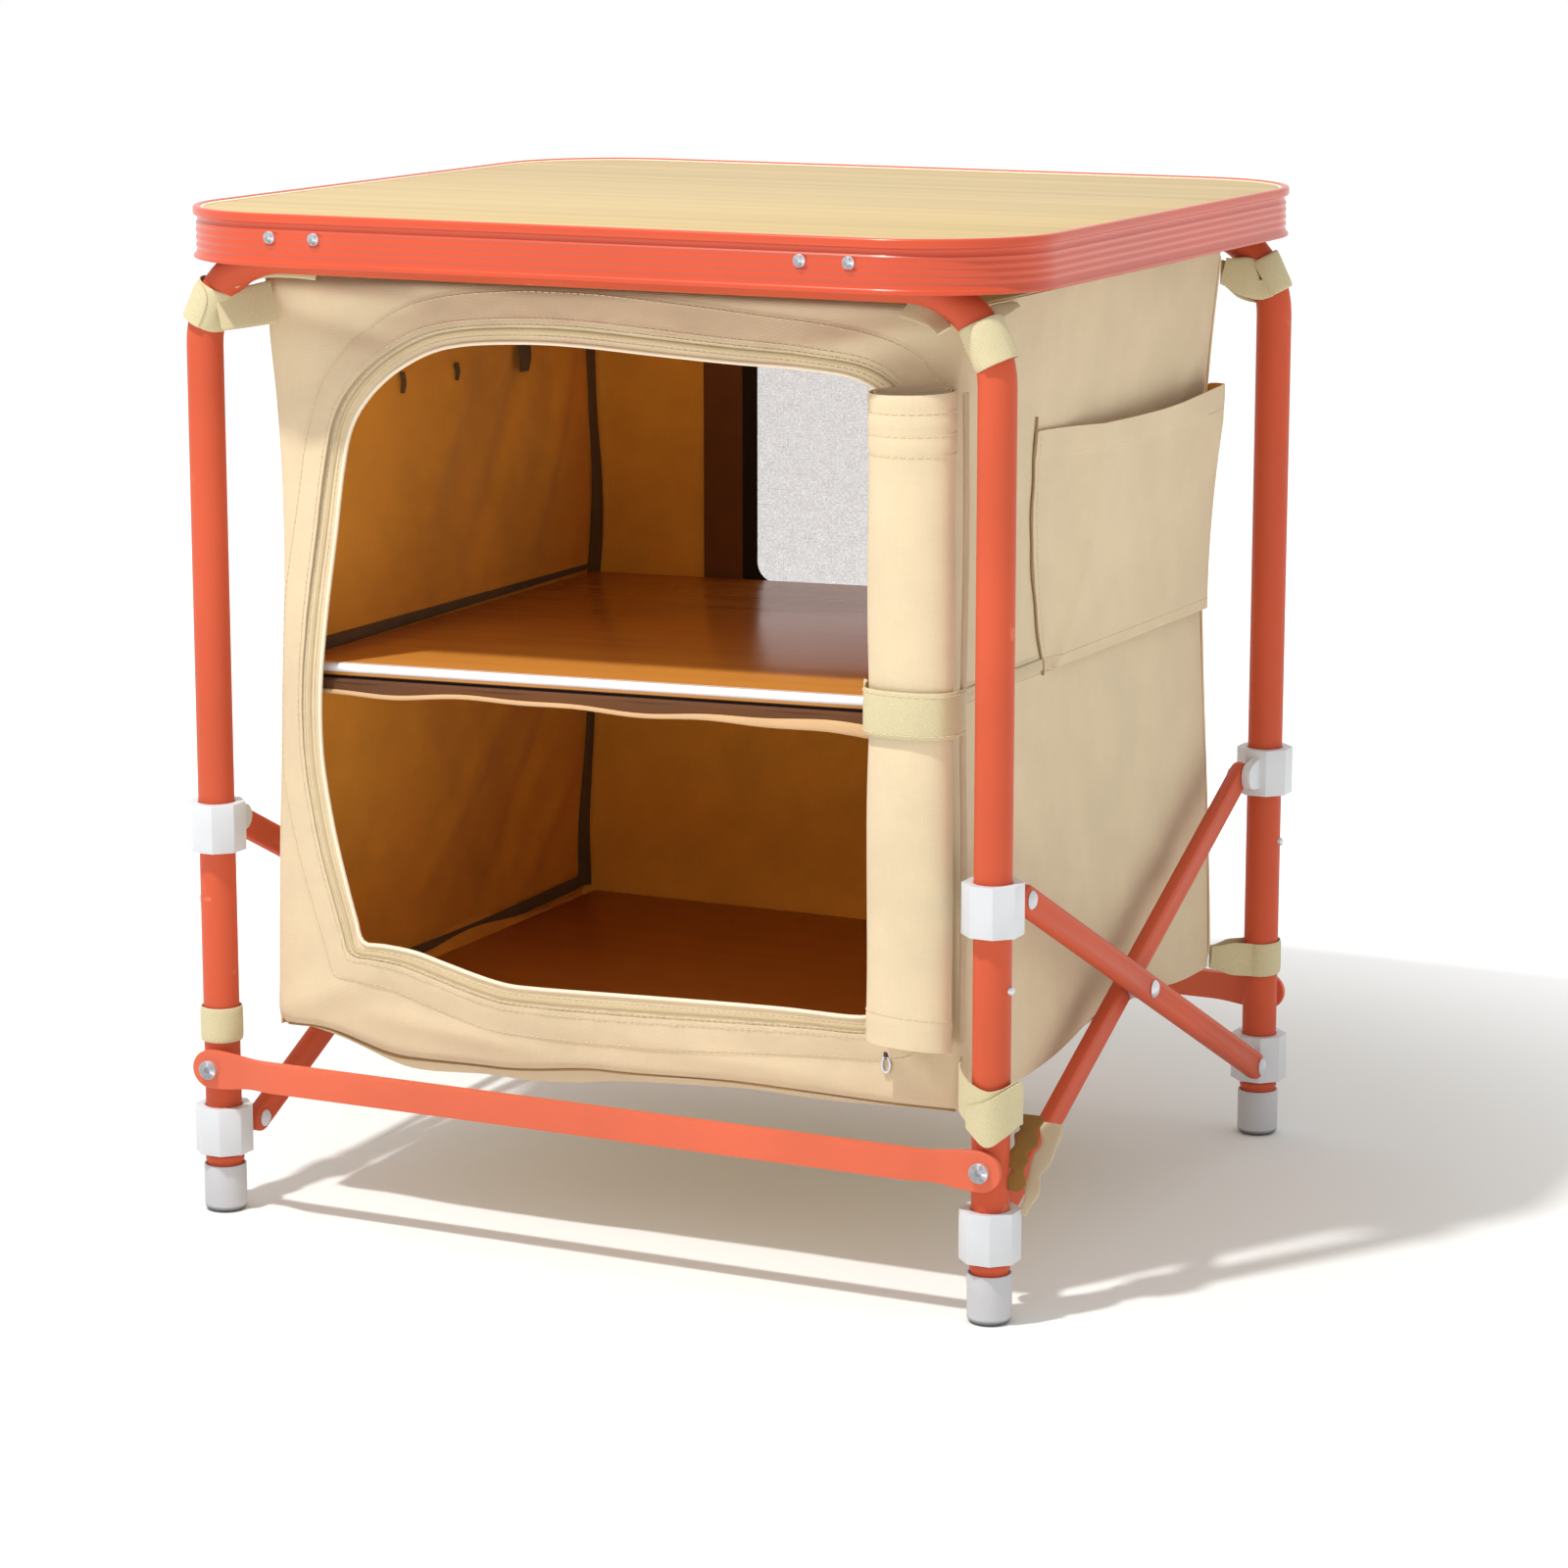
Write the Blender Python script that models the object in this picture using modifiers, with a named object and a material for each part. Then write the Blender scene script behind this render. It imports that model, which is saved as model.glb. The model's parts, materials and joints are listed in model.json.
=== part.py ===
"""A folding camp cupboard: a framed table top on two bent tube frames, with a cloth bag and shelf.

Units are metres. +X is to the right, +Y to the back, +Z up, and the origin is on the floor
under the middle of the cupboard. Left and right are a side of -1 and +1, and so are front and rear.
"""
import math

import bmesh
import bpy
from mathutils import Matrix, Vector

# Clearances
GAP = 0.0003             # between pieces that touch
RUNNING = 0.0003         # round a pin, a button or a tube that turns or slides in a hole

# Table top
TOP_WIDTH = 0.500
TOP_DEPTH = 0.470
TOP_HEIGHT = 0.560
RIM_HEIGHT = 0.028
RIM_CORNER = 0.074
RIM_CORNER_STEPS = 6
RIM_WALL = 0.0020
RIM_EDGE = 0.0006               # the chamfer along the top
RIM_BEAD = 0.0008               # how far the top and bottom beads stand out from the wall
RIM_BEAD_HEIGHT = 0.0055
RIM_BEAD_SLOPE = 0.0008
RIM_RIBS = 3
RIM_GROOVE = 0.0008             # how deep the grooves between the ribs are
RIM_GROOVE_HALF_WIDTH = 0.0006
RIM_GROOVE_INSET = 0.0010       # from the top bead down to the first groove
RIM_LEDGE = 0.0080              # how far the ledge under the panel reaches in
RIM_LEDGE_WALL = 0.0020
RIM_LIP = 0.0015                # how far the rim stands above the panel
PANEL_THICKNESS = 0.0080

# Frame tubes and feet
LEG_SIDE_INSET = 0.017          # from the table's side in to a leg's axis
LEG_END_INSET = 0.035           # from the table's front or rear in to a leg's axis
TUBE_RADIUS = 0.010
TUBE_WALL = 0.0012
TUBE_SIDES = 12
BEND_RADIUS = 0.050
BEND_STEPS = 5
FOOT_WALL = 0.0015
FOOT_HEIGHT = 0.0265
FOOT_FLOOR = 0.0040
FOOT_CHAMFER = 0.0015
FOOT_LIP = 0.0005

# Collars and braces
COLLAR_WALL = 0.0047
COLLAR_HEIGHT = 0.027
COLLAR_ABOVE_FOOT = 0.007
UPPER_COLLAR_Z = 0.2195
EAR_STANDOFF = 0.010            # from the collar's flat out to the ear's pin
EAR_MARGIN = 0.0045             # of the ear round its pin
EAR_FLARE = 0.0020              # how far the ear's root widens, and reaches into the collar
EAR_THICKNESS = 0.0050
PIN_RADIUS = 0.0030
PIN_HEAD_LAP = 0.0022           # how far a pin's head reaches past its shank
PIN_HEAD_HEIGHT = 0.0024
BRACE_WIDTH = 0.016
BRACE_THICKNESS = 0.0080
BRACE_EDGE = 0.35 * BRACE_THICKNESS
SPACER_WALL = 0.0035

# Bars between the legs
BAR_ABOVE_COLLAR = 0.01125
BAR_WIDTH = 0.0165
BAR_THICKNESS = 0.0080
BAR_EDGE = 0.375 * BAR_THICKNESS
BAR_TAB = 0.0034                # thickness of the flattened ends
BAR_TAB_RADIUS = 0.0108
BAR_TAB_LENGTH = 0.026
BAR_TAB_LAP = 0.004             # how far a flattened end runs into the bar
BAR_TAB_ARC = 125               # degrees either way that the end's round outline covers
RIVET_RADIUS = 0.0025
RIVET_HEAD_LAP = 0.0031
RIVET_HEAD_HEIGHT = 0.0026
RIVET_TAIL_LAP = 0.0009
RIVET_TAIL_HEIGHT = 0.0010

# Snap buttons
BUTTON_BELOW_COLLAR = 0.0425
BUTTON_RADIUS = 0.0024
BUTTON_REACH = 0.0025
BUTTON_ROUNDING = 0.0011
BUTTON_FLANGE_LAP = 0.0018
BUTTON_FLANGE = 0.0008

# Clips under the table top
SADDLE_FROM_BEND = 0.0055       # from where the bar starts to bend to the clip's end
SADDLE_LENGTH = 0.045
SADDLE_WALL = 0.0024
SADDLE_HEADROOM = 0.0005        # between the clip and the rim's ledge
SADDLE_BELOW_AXIS = 0.005
SADDLE_WALL_LIFT = 0.003        # how far the wall ends above the prongs
SADDLE_FILLET = 0.0006          # the web is this much thicker between its wall and its prong
SADDLE_RIVET_SPACING = 0.027
SADDLE_RIVET_DROP = 0.0029      # from the top of the clip down to its rivets
SADDLE_RIVET_RADIUS = 0.0020
SADDLE_RIVET_LAP = 0.0024
SADDLE_RIVET_DOME = 0.0020

# Bag
CLOTH = 0.0012
BAG_SIDE_CLEARANCE = 0.023      # from a leg's axis in to the bag's side
BAG_END_CLEARANCE = 0.018       # from a leg's axis in to the bag's front or back
BAG_ABOVE_BAR = 0.01575
BAG_TOP_DROP = 0.0020           # from the top bars down to the roof cloth
BAG_SAG = 0.006
BAG_WAIST = 0.010
DOOR_SIDE_MARGIN = 0.037
DOOR_SILL = 0.039
DOOR_HEAD = 0.034
DOOR_TOP_CORNER = 0.065
DOOR_BOTTOM_CORNER = 0.045
WINDOW_SIDE_MARGIN = 0.116
WINDOW_BELOW_SHELF = 0.010
WINDOW_HEAD = 0.045
WINDOW_CORNER = 0.012
NET_MARGIN = 0.010
NET_THICKNESS = 0.0006
POCKET_FRONT_INSET = 0.074
POCKET_REAR_INSET = 0.010
POCKET_ABOVE_SHELF = 0.004
POCKET_HEIGHT = 0.130
POCKET_COLLAR_CLEARANCE = 0.0015    # between the pocket's mouth and a collar that slides past it
POCKET_FOOT = 0.0030                # how far it stands out from the bag at its bottom seam

# Rolled door
ROLL_WIDTH = 0.050
ROLL_DEPTH = 0.028
ROLL_FLAT = 0.0005              # half the flat at each end of the roll's outline
ROLL_BELOW_DOOR = 0.002
ROLL_BELOW_HEAD = 0.008
ROLL_FLAP = 0.0022              # the step where the outer turn of the roll ends
DOOR_STRAP_DROP = 0.0013        # from the shelf's top down to the strap's middle
DOOR_STRAP_WIDTH = 0.024
STRAP = 0.0012
PULL_WIDTH = 0.0060
PULL_LENGTH = 0.017
PULL_THICKNESS = 0.0022
PULL_BELOW_DOOR = 0.006

# Corner straps
UPPER_STRAP_WIDTH = 0.024
LOWER_STRAP_WIDTH = 0.021
LOWER_STRAP_RISE = 0.0035       # from the bag's bottom up to the strap's middle
UPPER_STRAP_ANGLE = 26          # degrees up the bend
STRAP_BORE_OVERRUN = 10         # degrees that the bore runs past the strap
STRAP_TAIL = 0.0014

# Boards
BOARD_SIDE_CLEARANCE = 0.0008   # to the bag at its waist
BOARD_END_CLEARANCE = 0.0068
SHELF_TOP = 0.314
SHELF_THICKNESS = 0.0070
RAIL_WALL = 0.0010
RAIL_DEPTH = 0.0080
SLING_HEM = 0.011
FLOOR_THICKNESS = 0.0040
FLOOR_PIVOT_INSET = 0.011       # from the board's front edge back to the line it tips up about
FLOOR_PIVOT_ABOVE = 0.0125      # from the board's underside up to that line

SIDES = {"left": -1, "right": 1}
ENDS = {"front": -1, "rear": 1}

# Table top, from the sizes above
RIM_BOTTOM = TOP_HEIGHT - RIM_HEIGHT
RIM_INNER = RIM_BEAD + RIM_WALL
RIM_RIB_PITCH = (RIM_HEIGHT - 2 * RIM_BEAD_HEIGHT - RIM_GROOVE_INSET) / RIM_RIBS
PANEL_TOP = TOP_HEIGHT - RIM_LIP
LEDGE_TOP = PANEL_TOP - PANEL_THICKNESS - GAP

# Frame, from the sizes above
LEG_X = TOP_WIDTH / 2 - LEG_SIDE_INSET
LEG_Y = TOP_DEPTH / 2 - LEG_END_INSET
TUBE_BOTTOM = FOOT_FLOOR + GAP
SADDLE_TOP = LEDGE_TOP - RIM_LEDGE_WALL - SADDLE_HEADROOM
TOP_BAR_Z = SADDLE_TOP - SADDLE_WALL - GAP - TUBE_RADIUS
SADDLE_X = LEG_X - BEND_RADIUS - SADDLE_FROM_BEND - SADDLE_LENGTH / 2
SADDLE_RIVET_Z = SADDLE_TOP - SADDLE_RIVET_DROP
COLLAR_FLATS = 2 * (TUBE_RADIUS + RUNNING + COLLAR_WALL)
LOWER_COLLAR_Z = FOOT_HEIGHT + COLLAR_ABOVE_FOOT + COLLAR_HEIGHT / 2
EAR_REACH = COLLAR_FLATS / 2 + EAR_STANDOFF
PIVOT_Y = LEG_Y - EAR_REACH
BRACE_RISE = UPPER_COLLAR_Z - LOWER_COLLAR_Z
BRACE_LENGTH = math.hypot(2 * PIVOT_Y, BRACE_RISE)
BRACE_ANGLE = math.atan2(BRACE_RISE, 2 * PIVOT_Y)
BRACE_OFFSET = EAR_THICKNESS / 2 + GAP + BRACE_THICKNESS / 2
CENTRE_Z = (UPPER_COLLAR_Z + LOWER_COLLAR_Z) / 2
BAR_Y = LEG_Y + TUBE_RADIUS + GAP
BAR_Z = LOWER_COLLAR_Z + COLLAR_HEIGHT / 2 + BAR_ABOVE_COLLAR + BAR_WIDTH / 2
BUTTON_Z = UPPER_COLLAR_Z - BUTTON_BELOW_COLLAR

# Bag and door, from the sizes above
BAG_HALF_WIDTH = LEG_X - BAG_SIDE_CLEARANCE
BAG_HALF_DEPTH = LEG_Y - BAG_END_CLEARANCE
BAG_BOTTOM = BAR_Z + BAR_WIDTH / 2 + BAG_ABOVE_BAR
BAG_TOP = TOP_BAR_Z - TUBE_RADIUS - BAG_TOP_DROP
DOOR_HALF_WIDTH = BAG_HALF_WIDTH - DOOR_SIDE_MARGIN
DOOR_BOTTOM = BAG_BOTTOM + DOOR_SILL
DOOR_TOP = BAG_TOP - DOOR_HEAD
WINDOW_HALF_WIDTH = BAG_HALF_WIDTH - WINDOW_SIDE_MARGIN
WINDOW_BOTTOM = SHELF_TOP - WINDOW_BELOW_SHELF
WINDOW_TOP = BAG_TOP - WINDOW_HEAD
POCKET_FRONT = POCKET_FRONT_INSET - BAG_HALF_DEPTH
POCKET_REAR = BAG_HALF_DEPTH - POCKET_REAR_INSET
POCKET_BOTTOM = SHELF_TOP + POCKET_ABOVE_SHELF
POCKET_TOP = POCKET_BOTTOM + POCKET_HEIGHT
POCKET_MOUTH = LEG_X - COLLAR_FLATS / 2 - POCKET_COLLAR_CLEARANCE
ROLL_LEFT = BAG_HALF_WIDTH - ROLL_WIDTH
ROLL_BOTTOM = DOOR_BOTTOM - ROLL_BELOW_DOOR
ROLL_TOP = DOOR_TOP - ROLL_BELOW_HEAD
ROLL_BACK = BAG_HALF_DEPTH + 2 * GAP + STRAP
ROLL_X = ROLL_LEFT + ROLL_WIDTH / 2
ROLL_Y = -(ROLL_BACK + ROLL_DEPTH / 2)
ROLL_CORNER = ROLL_DEPTH / 2 - ROLL_FLAT
DOOR_STRAP_Z = SHELF_TOP - DOOR_STRAP_DROP
PULL_Z = DOOR_BOTTOM - PULL_BELOW_DOOR
STRAP_INNER = (TUBE_RADIUS + GAP) / math.cos(math.pi / TUBE_SIDES)
STRAP_OUTER = STRAP_INNER + STRAP
LOWER_STRAP_Z = BAG_BOTTOM + LOWER_STRAP_RISE

# Boards, from the sizes above
BOARD_HALF_WIDTH = BAG_HALF_WIDTH - BAG_WAIST - CLOTH - BOARD_SIDE_CLEARANCE
BOARD_HALF_DEPTH = BAG_HALF_DEPTH - CLOTH - BOARD_END_CLEARANCE
SHELF_BOTTOM = SHELF_TOP - SHELF_THICKNESS
FLOOR_BOTTOM = BAG_BOTTOM + CLOTH + GAP
FLOOR_TOP = FLOOR_BOTTOM + FLOOR_THICKNESS
SHELF_PIVOT = Vector((0.0, -BOARD_HALF_DEPTH, SHELF_TOP))
FLOOR_PIVOT = Vector((0.0, FLOOR_PIVOT_INSET - BOARD_HALF_DEPTH, FLOOR_BOTTOM + FLOOR_PIVOT_ABOVE))


def seat_inside_tube(radius):
    """How far from a leg's axis a flat disc of this radius lies against the tube's inner wall."""
    bore = (TUBE_RADIUS - TUBE_WALL) * math.cos(math.pi / TUBE_SIDES)
    return math.sqrt(bore ** 2 - radius ** 2) - GAP


# Scene, collections and materials

def clear_scene():
    for item in list(bpy.data.objects):
        bpy.data.objects.remove(item, do_unlink=True)


def new_collection(name):
    found = bpy.data.collections.new(name)
    bpy.context.scene.collection.children.link(found)
    return found


def new_material(name, colour, roughness, metallic=0.0):
    made = bpy.data.materials.new(name)
    made.use_nodes = True
    shader = made.node_tree.nodes["Principled BSDF"]
    shader.inputs["Base Color"].default_value = (*colour, 1.0)
    shader.inputs["Roughness"].default_value = roughness
    shader.inputs["Metallic"].default_value = metallic
    return made


clear_scene()
PARTS = new_collection("folding_cupboard")
MATERIALS = {
    "frame": new_material("coral_paint", (0.62, 0.12, 0.05), 0.38),
    "rim": new_material("coral_anodised", (0.72, 0.13, 0.05), 0.34, 0.3),
    "panel": new_material("bamboo_laminate", (0.78, 0.60, 0.33), 0.45),
    "collar": new_material("white_plastic", (0.72, 0.73, 0.74), 0.40),
    "foot": new_material("grey_plastic", (0.62, 0.61, 0.62), 0.50),
    "steel": new_material("bright_steel", (0.80, 0.80, 0.80), 0.22, 1.0),
    "cloth": new_material("khaki_canvas", (0.65, 0.47, 0.27), 0.85),
    "webbing": new_material("cream_webbing", (0.82, 0.74, 0.50), 0.80),
    "net": new_material("grey_screen", (0.62, 0.60, 0.60), 0.70),
    "board": new_material("bamboo_board", (0.46, 0.27, 0.12), 0.40),
    "rail": new_material("pale_aluminium", (0.85, 0.84, 0.82), 0.28, 0.9),
}


# Modelling helpers

def link(name, mesh, material, pivot=(0.0, 0.0, 0.0)):
    """Makes the finished object, with its origin at the pivot that it turns about."""
    mesh.transform(Matrix.Translation(-Vector(pivot)))
    mesh.materials.clear()
    mesh.materials.append(MATERIALS[material])
    made = bpy.data.objects.new(name, mesh)
    made.location = pivot
    PARTS.objects.link(made)
    return made


def mesh_of(item):
    """The evaluated mesh of a working object in world space; the object is removed."""
    bpy.context.view_layer.update()
    graph = bpy.context.evaluated_depsgraph_get()
    mesh = bpy.data.meshes.new_from_object(item.evaluated_get(graph))
    mesh.transform(item.matrix_world)
    bpy.data.objects.remove(item, do_unlink=True)
    work = bmesh.new()
    work.from_mesh(mesh)
    bmesh.ops.remove_doubles(work, verts=work.verts, dist=0.00001)
    work.to_mesh(mesh)
    work.free()
    return mesh


def working(data):
    item = bpy.data.objects.new("working", data)
    bpy.context.scene.collection.objects.link(item)
    return item


def combine(base, others, operation):
    """Joins meshes to the base mesh, or cuts them out of it."""
    item = working(base)
    tools = [working(other) for other in others]
    for tool in tools:
        step = item.modifiers.new("combine", "BOOLEAN")
        step.operation = operation
        step.solver = "EXACT"
        step.object = tool
    result = mesh_of(item)
    for tool in tools:
        bpy.data.objects.remove(tool, do_unlink=True)
    return result


def join(base, *others):
    return combine(base, others, "UNION")


def cut(base, *others):
    return combine(base, others, "DIFFERENCE")


def bevelled(mesh, width, segments=2, edges=None):
    """Rounds the edges that the test picks, or every sharp edge."""
    work = bmesh.new()
    work.from_mesh(mesh)
    sharp = [e for e in work.edges if len(e.link_faces) == 2 and e.calc_face_angle() > 0.6]
    picked = [e for e in sharp if edges is None or edges(e)]
    bmesh.ops.bevel(work, geom=picked, offset=width, segments=segments, profile=0.5, affect="EDGES")
    work.to_mesh(mesh)
    work.free()
    return mesh


def box(low, high):
    work = bmesh.new()
    bmesh.ops.create_cube(work, size=1.0)
    low, high = Vector(low), Vector(high)
    for vert in work.verts:
        vert.co = Vector((low[i] + (high[i] - low[i]) * (vert.co[i] + 0.5) for i in range(3)))
    mesh = bpy.data.meshes.new("box")
    work.to_mesh(mesh)
    work.free()
    return mesh


TURNS = {
    "Z": Matrix.Identity(4),
    "X": Matrix.Rotation(math.radians(90), 4, "Y"),
    "-X": Matrix.Rotation(math.radians(-90), 4, "Y"),
    "Y": Matrix.Rotation(math.radians(-90), 4, "X"),
    "-Y": Matrix.Rotation(math.radians(90), 4, "X"),
}


def prism(centre, radius, length, axis="Z", sides=16):
    """A straight round or many-sided bar, centred, along an axis."""
    work = bmesh.new()
    bmesh.ops.create_cone(work, cap_ends=True, segments=sides, radius1=radius, radius2=radius,
                          depth=length)
    mesh = bpy.data.meshes.new("prism")
    work.to_mesh(mesh)
    work.free()
    mesh.transform(Matrix.Translation(centre) @ TURNS[axis])
    return mesh


def turned(profile, centre, axis="Z", steps=16):
    """A profile of (radius, height) points, from top to bottom on its outer side, turned round."""
    data = bpy.data.meshes.new("profile")
    edges = [(i, i + 1) for i in range(len(profile) - 1)]
    data.from_pydata([(radius, 0.0, height) for radius, height in profile], edges, [])
    item = working(data)
    screw = item.modifiers.new("screw", "SCREW")
    screw.steps = steps
    screw.render_steps = steps
    screw.use_merge_vertices = True
    screw.merge_threshold = 0.00001
    item.matrix_world = Matrix.Translation(centre) @ TURNS[axis]
    return mesh_of(item)


def arc(centre_u, centre_v, radius, start, end, steps):
    """Points of an arc, with angles in degrees."""
    angles = [math.radians(start + (end - start) * i / steps) for i in range(steps + 1)]
    return [(centre_u + radius * math.cos(a), centre_v + radius * math.sin(a)) for a in angles]


def rounded_loop(low_u, high_u, low_v, high_v, low_radius, high_radius, steps=6):
    """A rectangle's outline, with one radius at its low corners and one at its high corners."""
    loop = arc(high_u - low_radius, low_v + low_radius, low_radius, -90, 0, steps)
    loop += arc(high_u - high_radius, high_v - high_radius, high_radius, 0, 90, steps)
    loop += arc(low_u + high_radius, high_v - high_radius, high_radius, 90, 180, steps)
    loop += arc(low_u + low_radius, low_v + low_radius, low_radius, 180, 270, steps)
    return loop


PLANES = {
    "XY": Matrix.Identity(4),
    "XZ": Matrix.Rotation(math.radians(90), 4, "X"),
    "YZ": Matrix(((0, 0, 1, 0), (1, 0, 0, 0), (0, 1, 0, 0), (0, 0, 0, 1))),
}


def plate(loops, thickness, plane, centre=(0.0, 0.0, 0.0)):
    """A flat outline, with any holes as further loops, extruded by half the thickness each way."""
    data = bpy.data.curves.new("outline", "CURVE")
    data.dimensions = "2D"
    data.fill_mode = "BOTH"
    data.extrude = thickness / 2
    for loop in loops:
        spline = data.splines.new("POLY")
        spline.points.add(len(loop) - 1)
        for point, (u, v) in zip(spline.points, loop):
            point.co = (u, v, 0.0, 1.0)
        spline.use_cyclic_u = True
    item = working(data)
    item.matrix_world = Matrix.Translation(centre) @ PLANES[plane]
    return mesh_of(item)


def pipe(points, radius):
    """A round bar along a line of points, with flat ends."""
    data = bpy.data.curves.new("route", "CURVE")
    data.dimensions = "3D"
    data.twist_mode = "MINIMUM"
    data.bevel_depth = radius
    data.bevel_resolution = (TUBE_SIDES - 4) // 2
    data.use_fill_caps = True
    spline = data.splines.new("POLY")
    spline.points.add(len(points) - 1)
    for point, place in zip(spline.points, points):
        point.co = (*place, 1.0)
    return mesh_of(working(data))


def dome(radius, height, steps=2):
    """The profile of a rivet's low dome, from its middle to its rim."""
    angles = [math.radians(90 * i / steps) for i in range(steps + 1)]
    return [(radius * math.sin(a), height * math.cos(a)) for a in angles]


def smooth(item, angle=35):
    item.data.shade_smooth()
    item.data.set_sharp_from_angle(angle=math.radians(angle))


# Table top

def rim_section():
    """The rim's cross-section as (distance out from the widest line, height) points."""
    wall = -RIM_BEAD
    groove = wall - RIM_GROOVE
    bead_foot = TOP_HEIGHT - RIM_BEAD_HEIGHT
    bead_head = RIM_BOTTOM + RIM_BEAD_HEIGHT
    points = [(0.0, TOP_HEIGHT - RIM_EDGE), (0.0, bead_foot)]
    for rib in range(RIM_RIBS):
        middle = bead_foot - RIM_GROOVE_INSET - rib * RIM_RIB_PITCH
        points += [(wall, middle + RIM_GROOVE_HALF_WIDTH), (groove, middle)]
        points += [(wall, middle - RIM_GROOVE_HALF_WIDTH)]
    points += [(wall, bead_head), (0.0, bead_head - RIM_BEAD_SLOPE)]
    points += [(0.0, RIM_BOTTOM), (-RIM_INNER, RIM_BOTTOM)]
    points += [(-RIM_INNER, LEDGE_TOP - RIM_LEDGE_WALL)]
    points += [(-RIM_INNER - RIM_LEDGE, LEDGE_TOP - RIM_LEDGE_WALL)]
    points += [(-RIM_INNER - RIM_LEDGE, LEDGE_TOP), (-RIM_INNER, LEDGE_TOP)]
    points += [(-RIM_INNER, TOP_HEIGHT), (-RIM_EDGE, TOP_HEIGHT)]
    return points


def swept_rim(section):
    """The section carried round the table's rounded rectangle."""
    half_x, half_y = TOP_WIDTH / 2, TOP_DEPTH / 2
    work = bmesh.new()
    rings = []
    for out, height in section:
        loop = rounded_loop(-half_x - out, half_x + out, -half_y - out, half_y + out,
                            RIM_CORNER + out, RIM_CORNER + out, steps=RIM_CORNER_STEPS)
        rings.append([work.verts.new((u, v, height)) for u, v in loop])
    for ring, following in zip(rings, rings[1:] + rings[:1]):
        count = len(ring)
        for i in range(count):
            j = (i + 1) % count
            work.faces.new((ring[i], following[i], following[j], ring[j]))
    bmesh.ops.recalc_face_normals(work, faces=work.faces)
    mesh = bpy.data.meshes.new("rim")
    work.to_mesh(mesh)
    work.free()
    return mesh


def saddle_rivet_places(side):
    return [side * SADDLE_X + half * SADDLE_RIVET_SPACING / 2 for half in (-1, 1)]


def build_rim():
    holes = []
    for end in ENDS.values():
        for x in saddle_rivet_places(-1) + saddle_rivet_places(1):
            centre = (x, end * TOP_DEPTH / 2, SADDLE_RIVET_Z)
            holes.append(prism(centre, SADDLE_RIVET_RADIUS + RUNNING, 3 * RIM_INNER, "Y", sides=8))
    rim = link("top_rim", cut(swept_rim(rim_section()), *holes), "rim")
    smooth(rim, 30)


def build_panel():
    half_x = TOP_WIDTH / 2 - RIM_INNER - GAP
    half_y = TOP_DEPTH / 2 - RIM_INNER - GAP
    corner = RIM_CORNER - RIM_INNER - GAP
    outline = rounded_loop(-half_x, half_x, -half_y, half_y, corner, corner, RIM_CORNER_STEPS)
    centre = (0.0, 0.0, PANEL_TOP - PANEL_THICKNESS / 2)
    link("top_panel", plate([outline], PANEL_THICKNESS, "XY", centre), "panel")


def saddle_section(end):
    """The clip's outline in the YZ plane. The front clip hooks over its bar from both sides; the
    rear clip leaves its bar free to move forward when the frame folds."""
    wall_outer = TOP_DEPTH / 2 - RIM_INNER - GAP
    wall_inner = wall_outer - SADDLE_WALL
    web_bottom = TOP_BAR_Z + TUBE_RADIUS + GAP
    outer_prong = LEG_Y + TUBE_RADIUS + GAP
    prong_bottom = TOP_BAR_Z - SADDLE_BELOW_AXIS
    wall_bottom = prong_bottom + SADDLE_WALL_LIFT
    inner_prong = LEG_Y - TUBE_RADIUS - GAP
    points = [(wall_outer, SADDLE_TOP), (wall_outer, wall_bottom)]
    points += [(wall_inner, wall_bottom), (wall_inner, web_bottom - SADDLE_FILLET)]
    points += [(outer_prong + SADDLE_WALL, web_bottom - SADDLE_FILLET)]
    points += [(outer_prong + SADDLE_WALL, prong_bottom)]
    points += [(outer_prong, prong_bottom), (outer_prong, web_bottom)]
    if end < 0:
        points += [(inner_prong, web_bottom), (inner_prong, prong_bottom)]
        points += [(inner_prong - SADDLE_WALL, prong_bottom), (inner_prong - SADDLE_WALL, SADDLE_TOP)]
    else:
        points += [(inner_prong, web_bottom), (inner_prong, SADDLE_TOP)]
    return [(end * y, z) for y, z in points]


def saddle_rivet(x, end):
    """One rivet, with its domed head on the rim and its shank through the rim into the clip."""
    head_face = TOP_DEPTH / 2 + GAP - RIM_BEAD
    length = head_face - (TOP_DEPTH / 2 - RIM_INNER - GAP - SADDLE_WALL / 2)
    profile = dome(SADDLE_RIVET_RADIUS + SADDLE_RIVET_LAP, SADDLE_RIVET_DOME)
    profile += [(SADDLE_RIVET_RADIUS, 0.0), (SADDLE_RIVET_RADIUS, -length), (0.0, -length)]
    place = (x, end * head_face, SADDLE_RIVET_Z)
    return turned(profile, place, "Y" if end > 0 else "-Y", steps=8)


def build_saddles():
    for end_name, end in ENDS.items():
        for side_name, side in SIDES.items():
            body = plate([saddle_section(end)], SADDLE_LENGTH, "YZ", (side * SADDLE_X, 0.0, 0.0))
            rivets = [saddle_rivet(x, end) for x in saddle_rivet_places(side)]
            smooth(link(f"saddle_{end_name}_{side_name}", join(body, *rivets), "steel"))


# Frame tubes

def bend_point(side, end, degrees):
    """A point of a leg's faceted bend, from 0 degrees on the leg to 90 on the top bar."""
    facet = 90 / BEND_STEPS
    index = min(int(degrees / facet), BEND_STEPS - 1)
    (low_x, low_z), (high_x, high_z) = arc(LEG_X - BEND_RADIUS, TOP_BAR_Z - BEND_RADIUS, BEND_RADIUS,
                                           index * facet, (index + 1) * facet, 1)
    share = degrees / facet - index
    x = low_x + (high_x - low_x) * share
    return Vector((side * x, end * LEG_Y, low_z + (high_z - low_z) * share))


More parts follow.
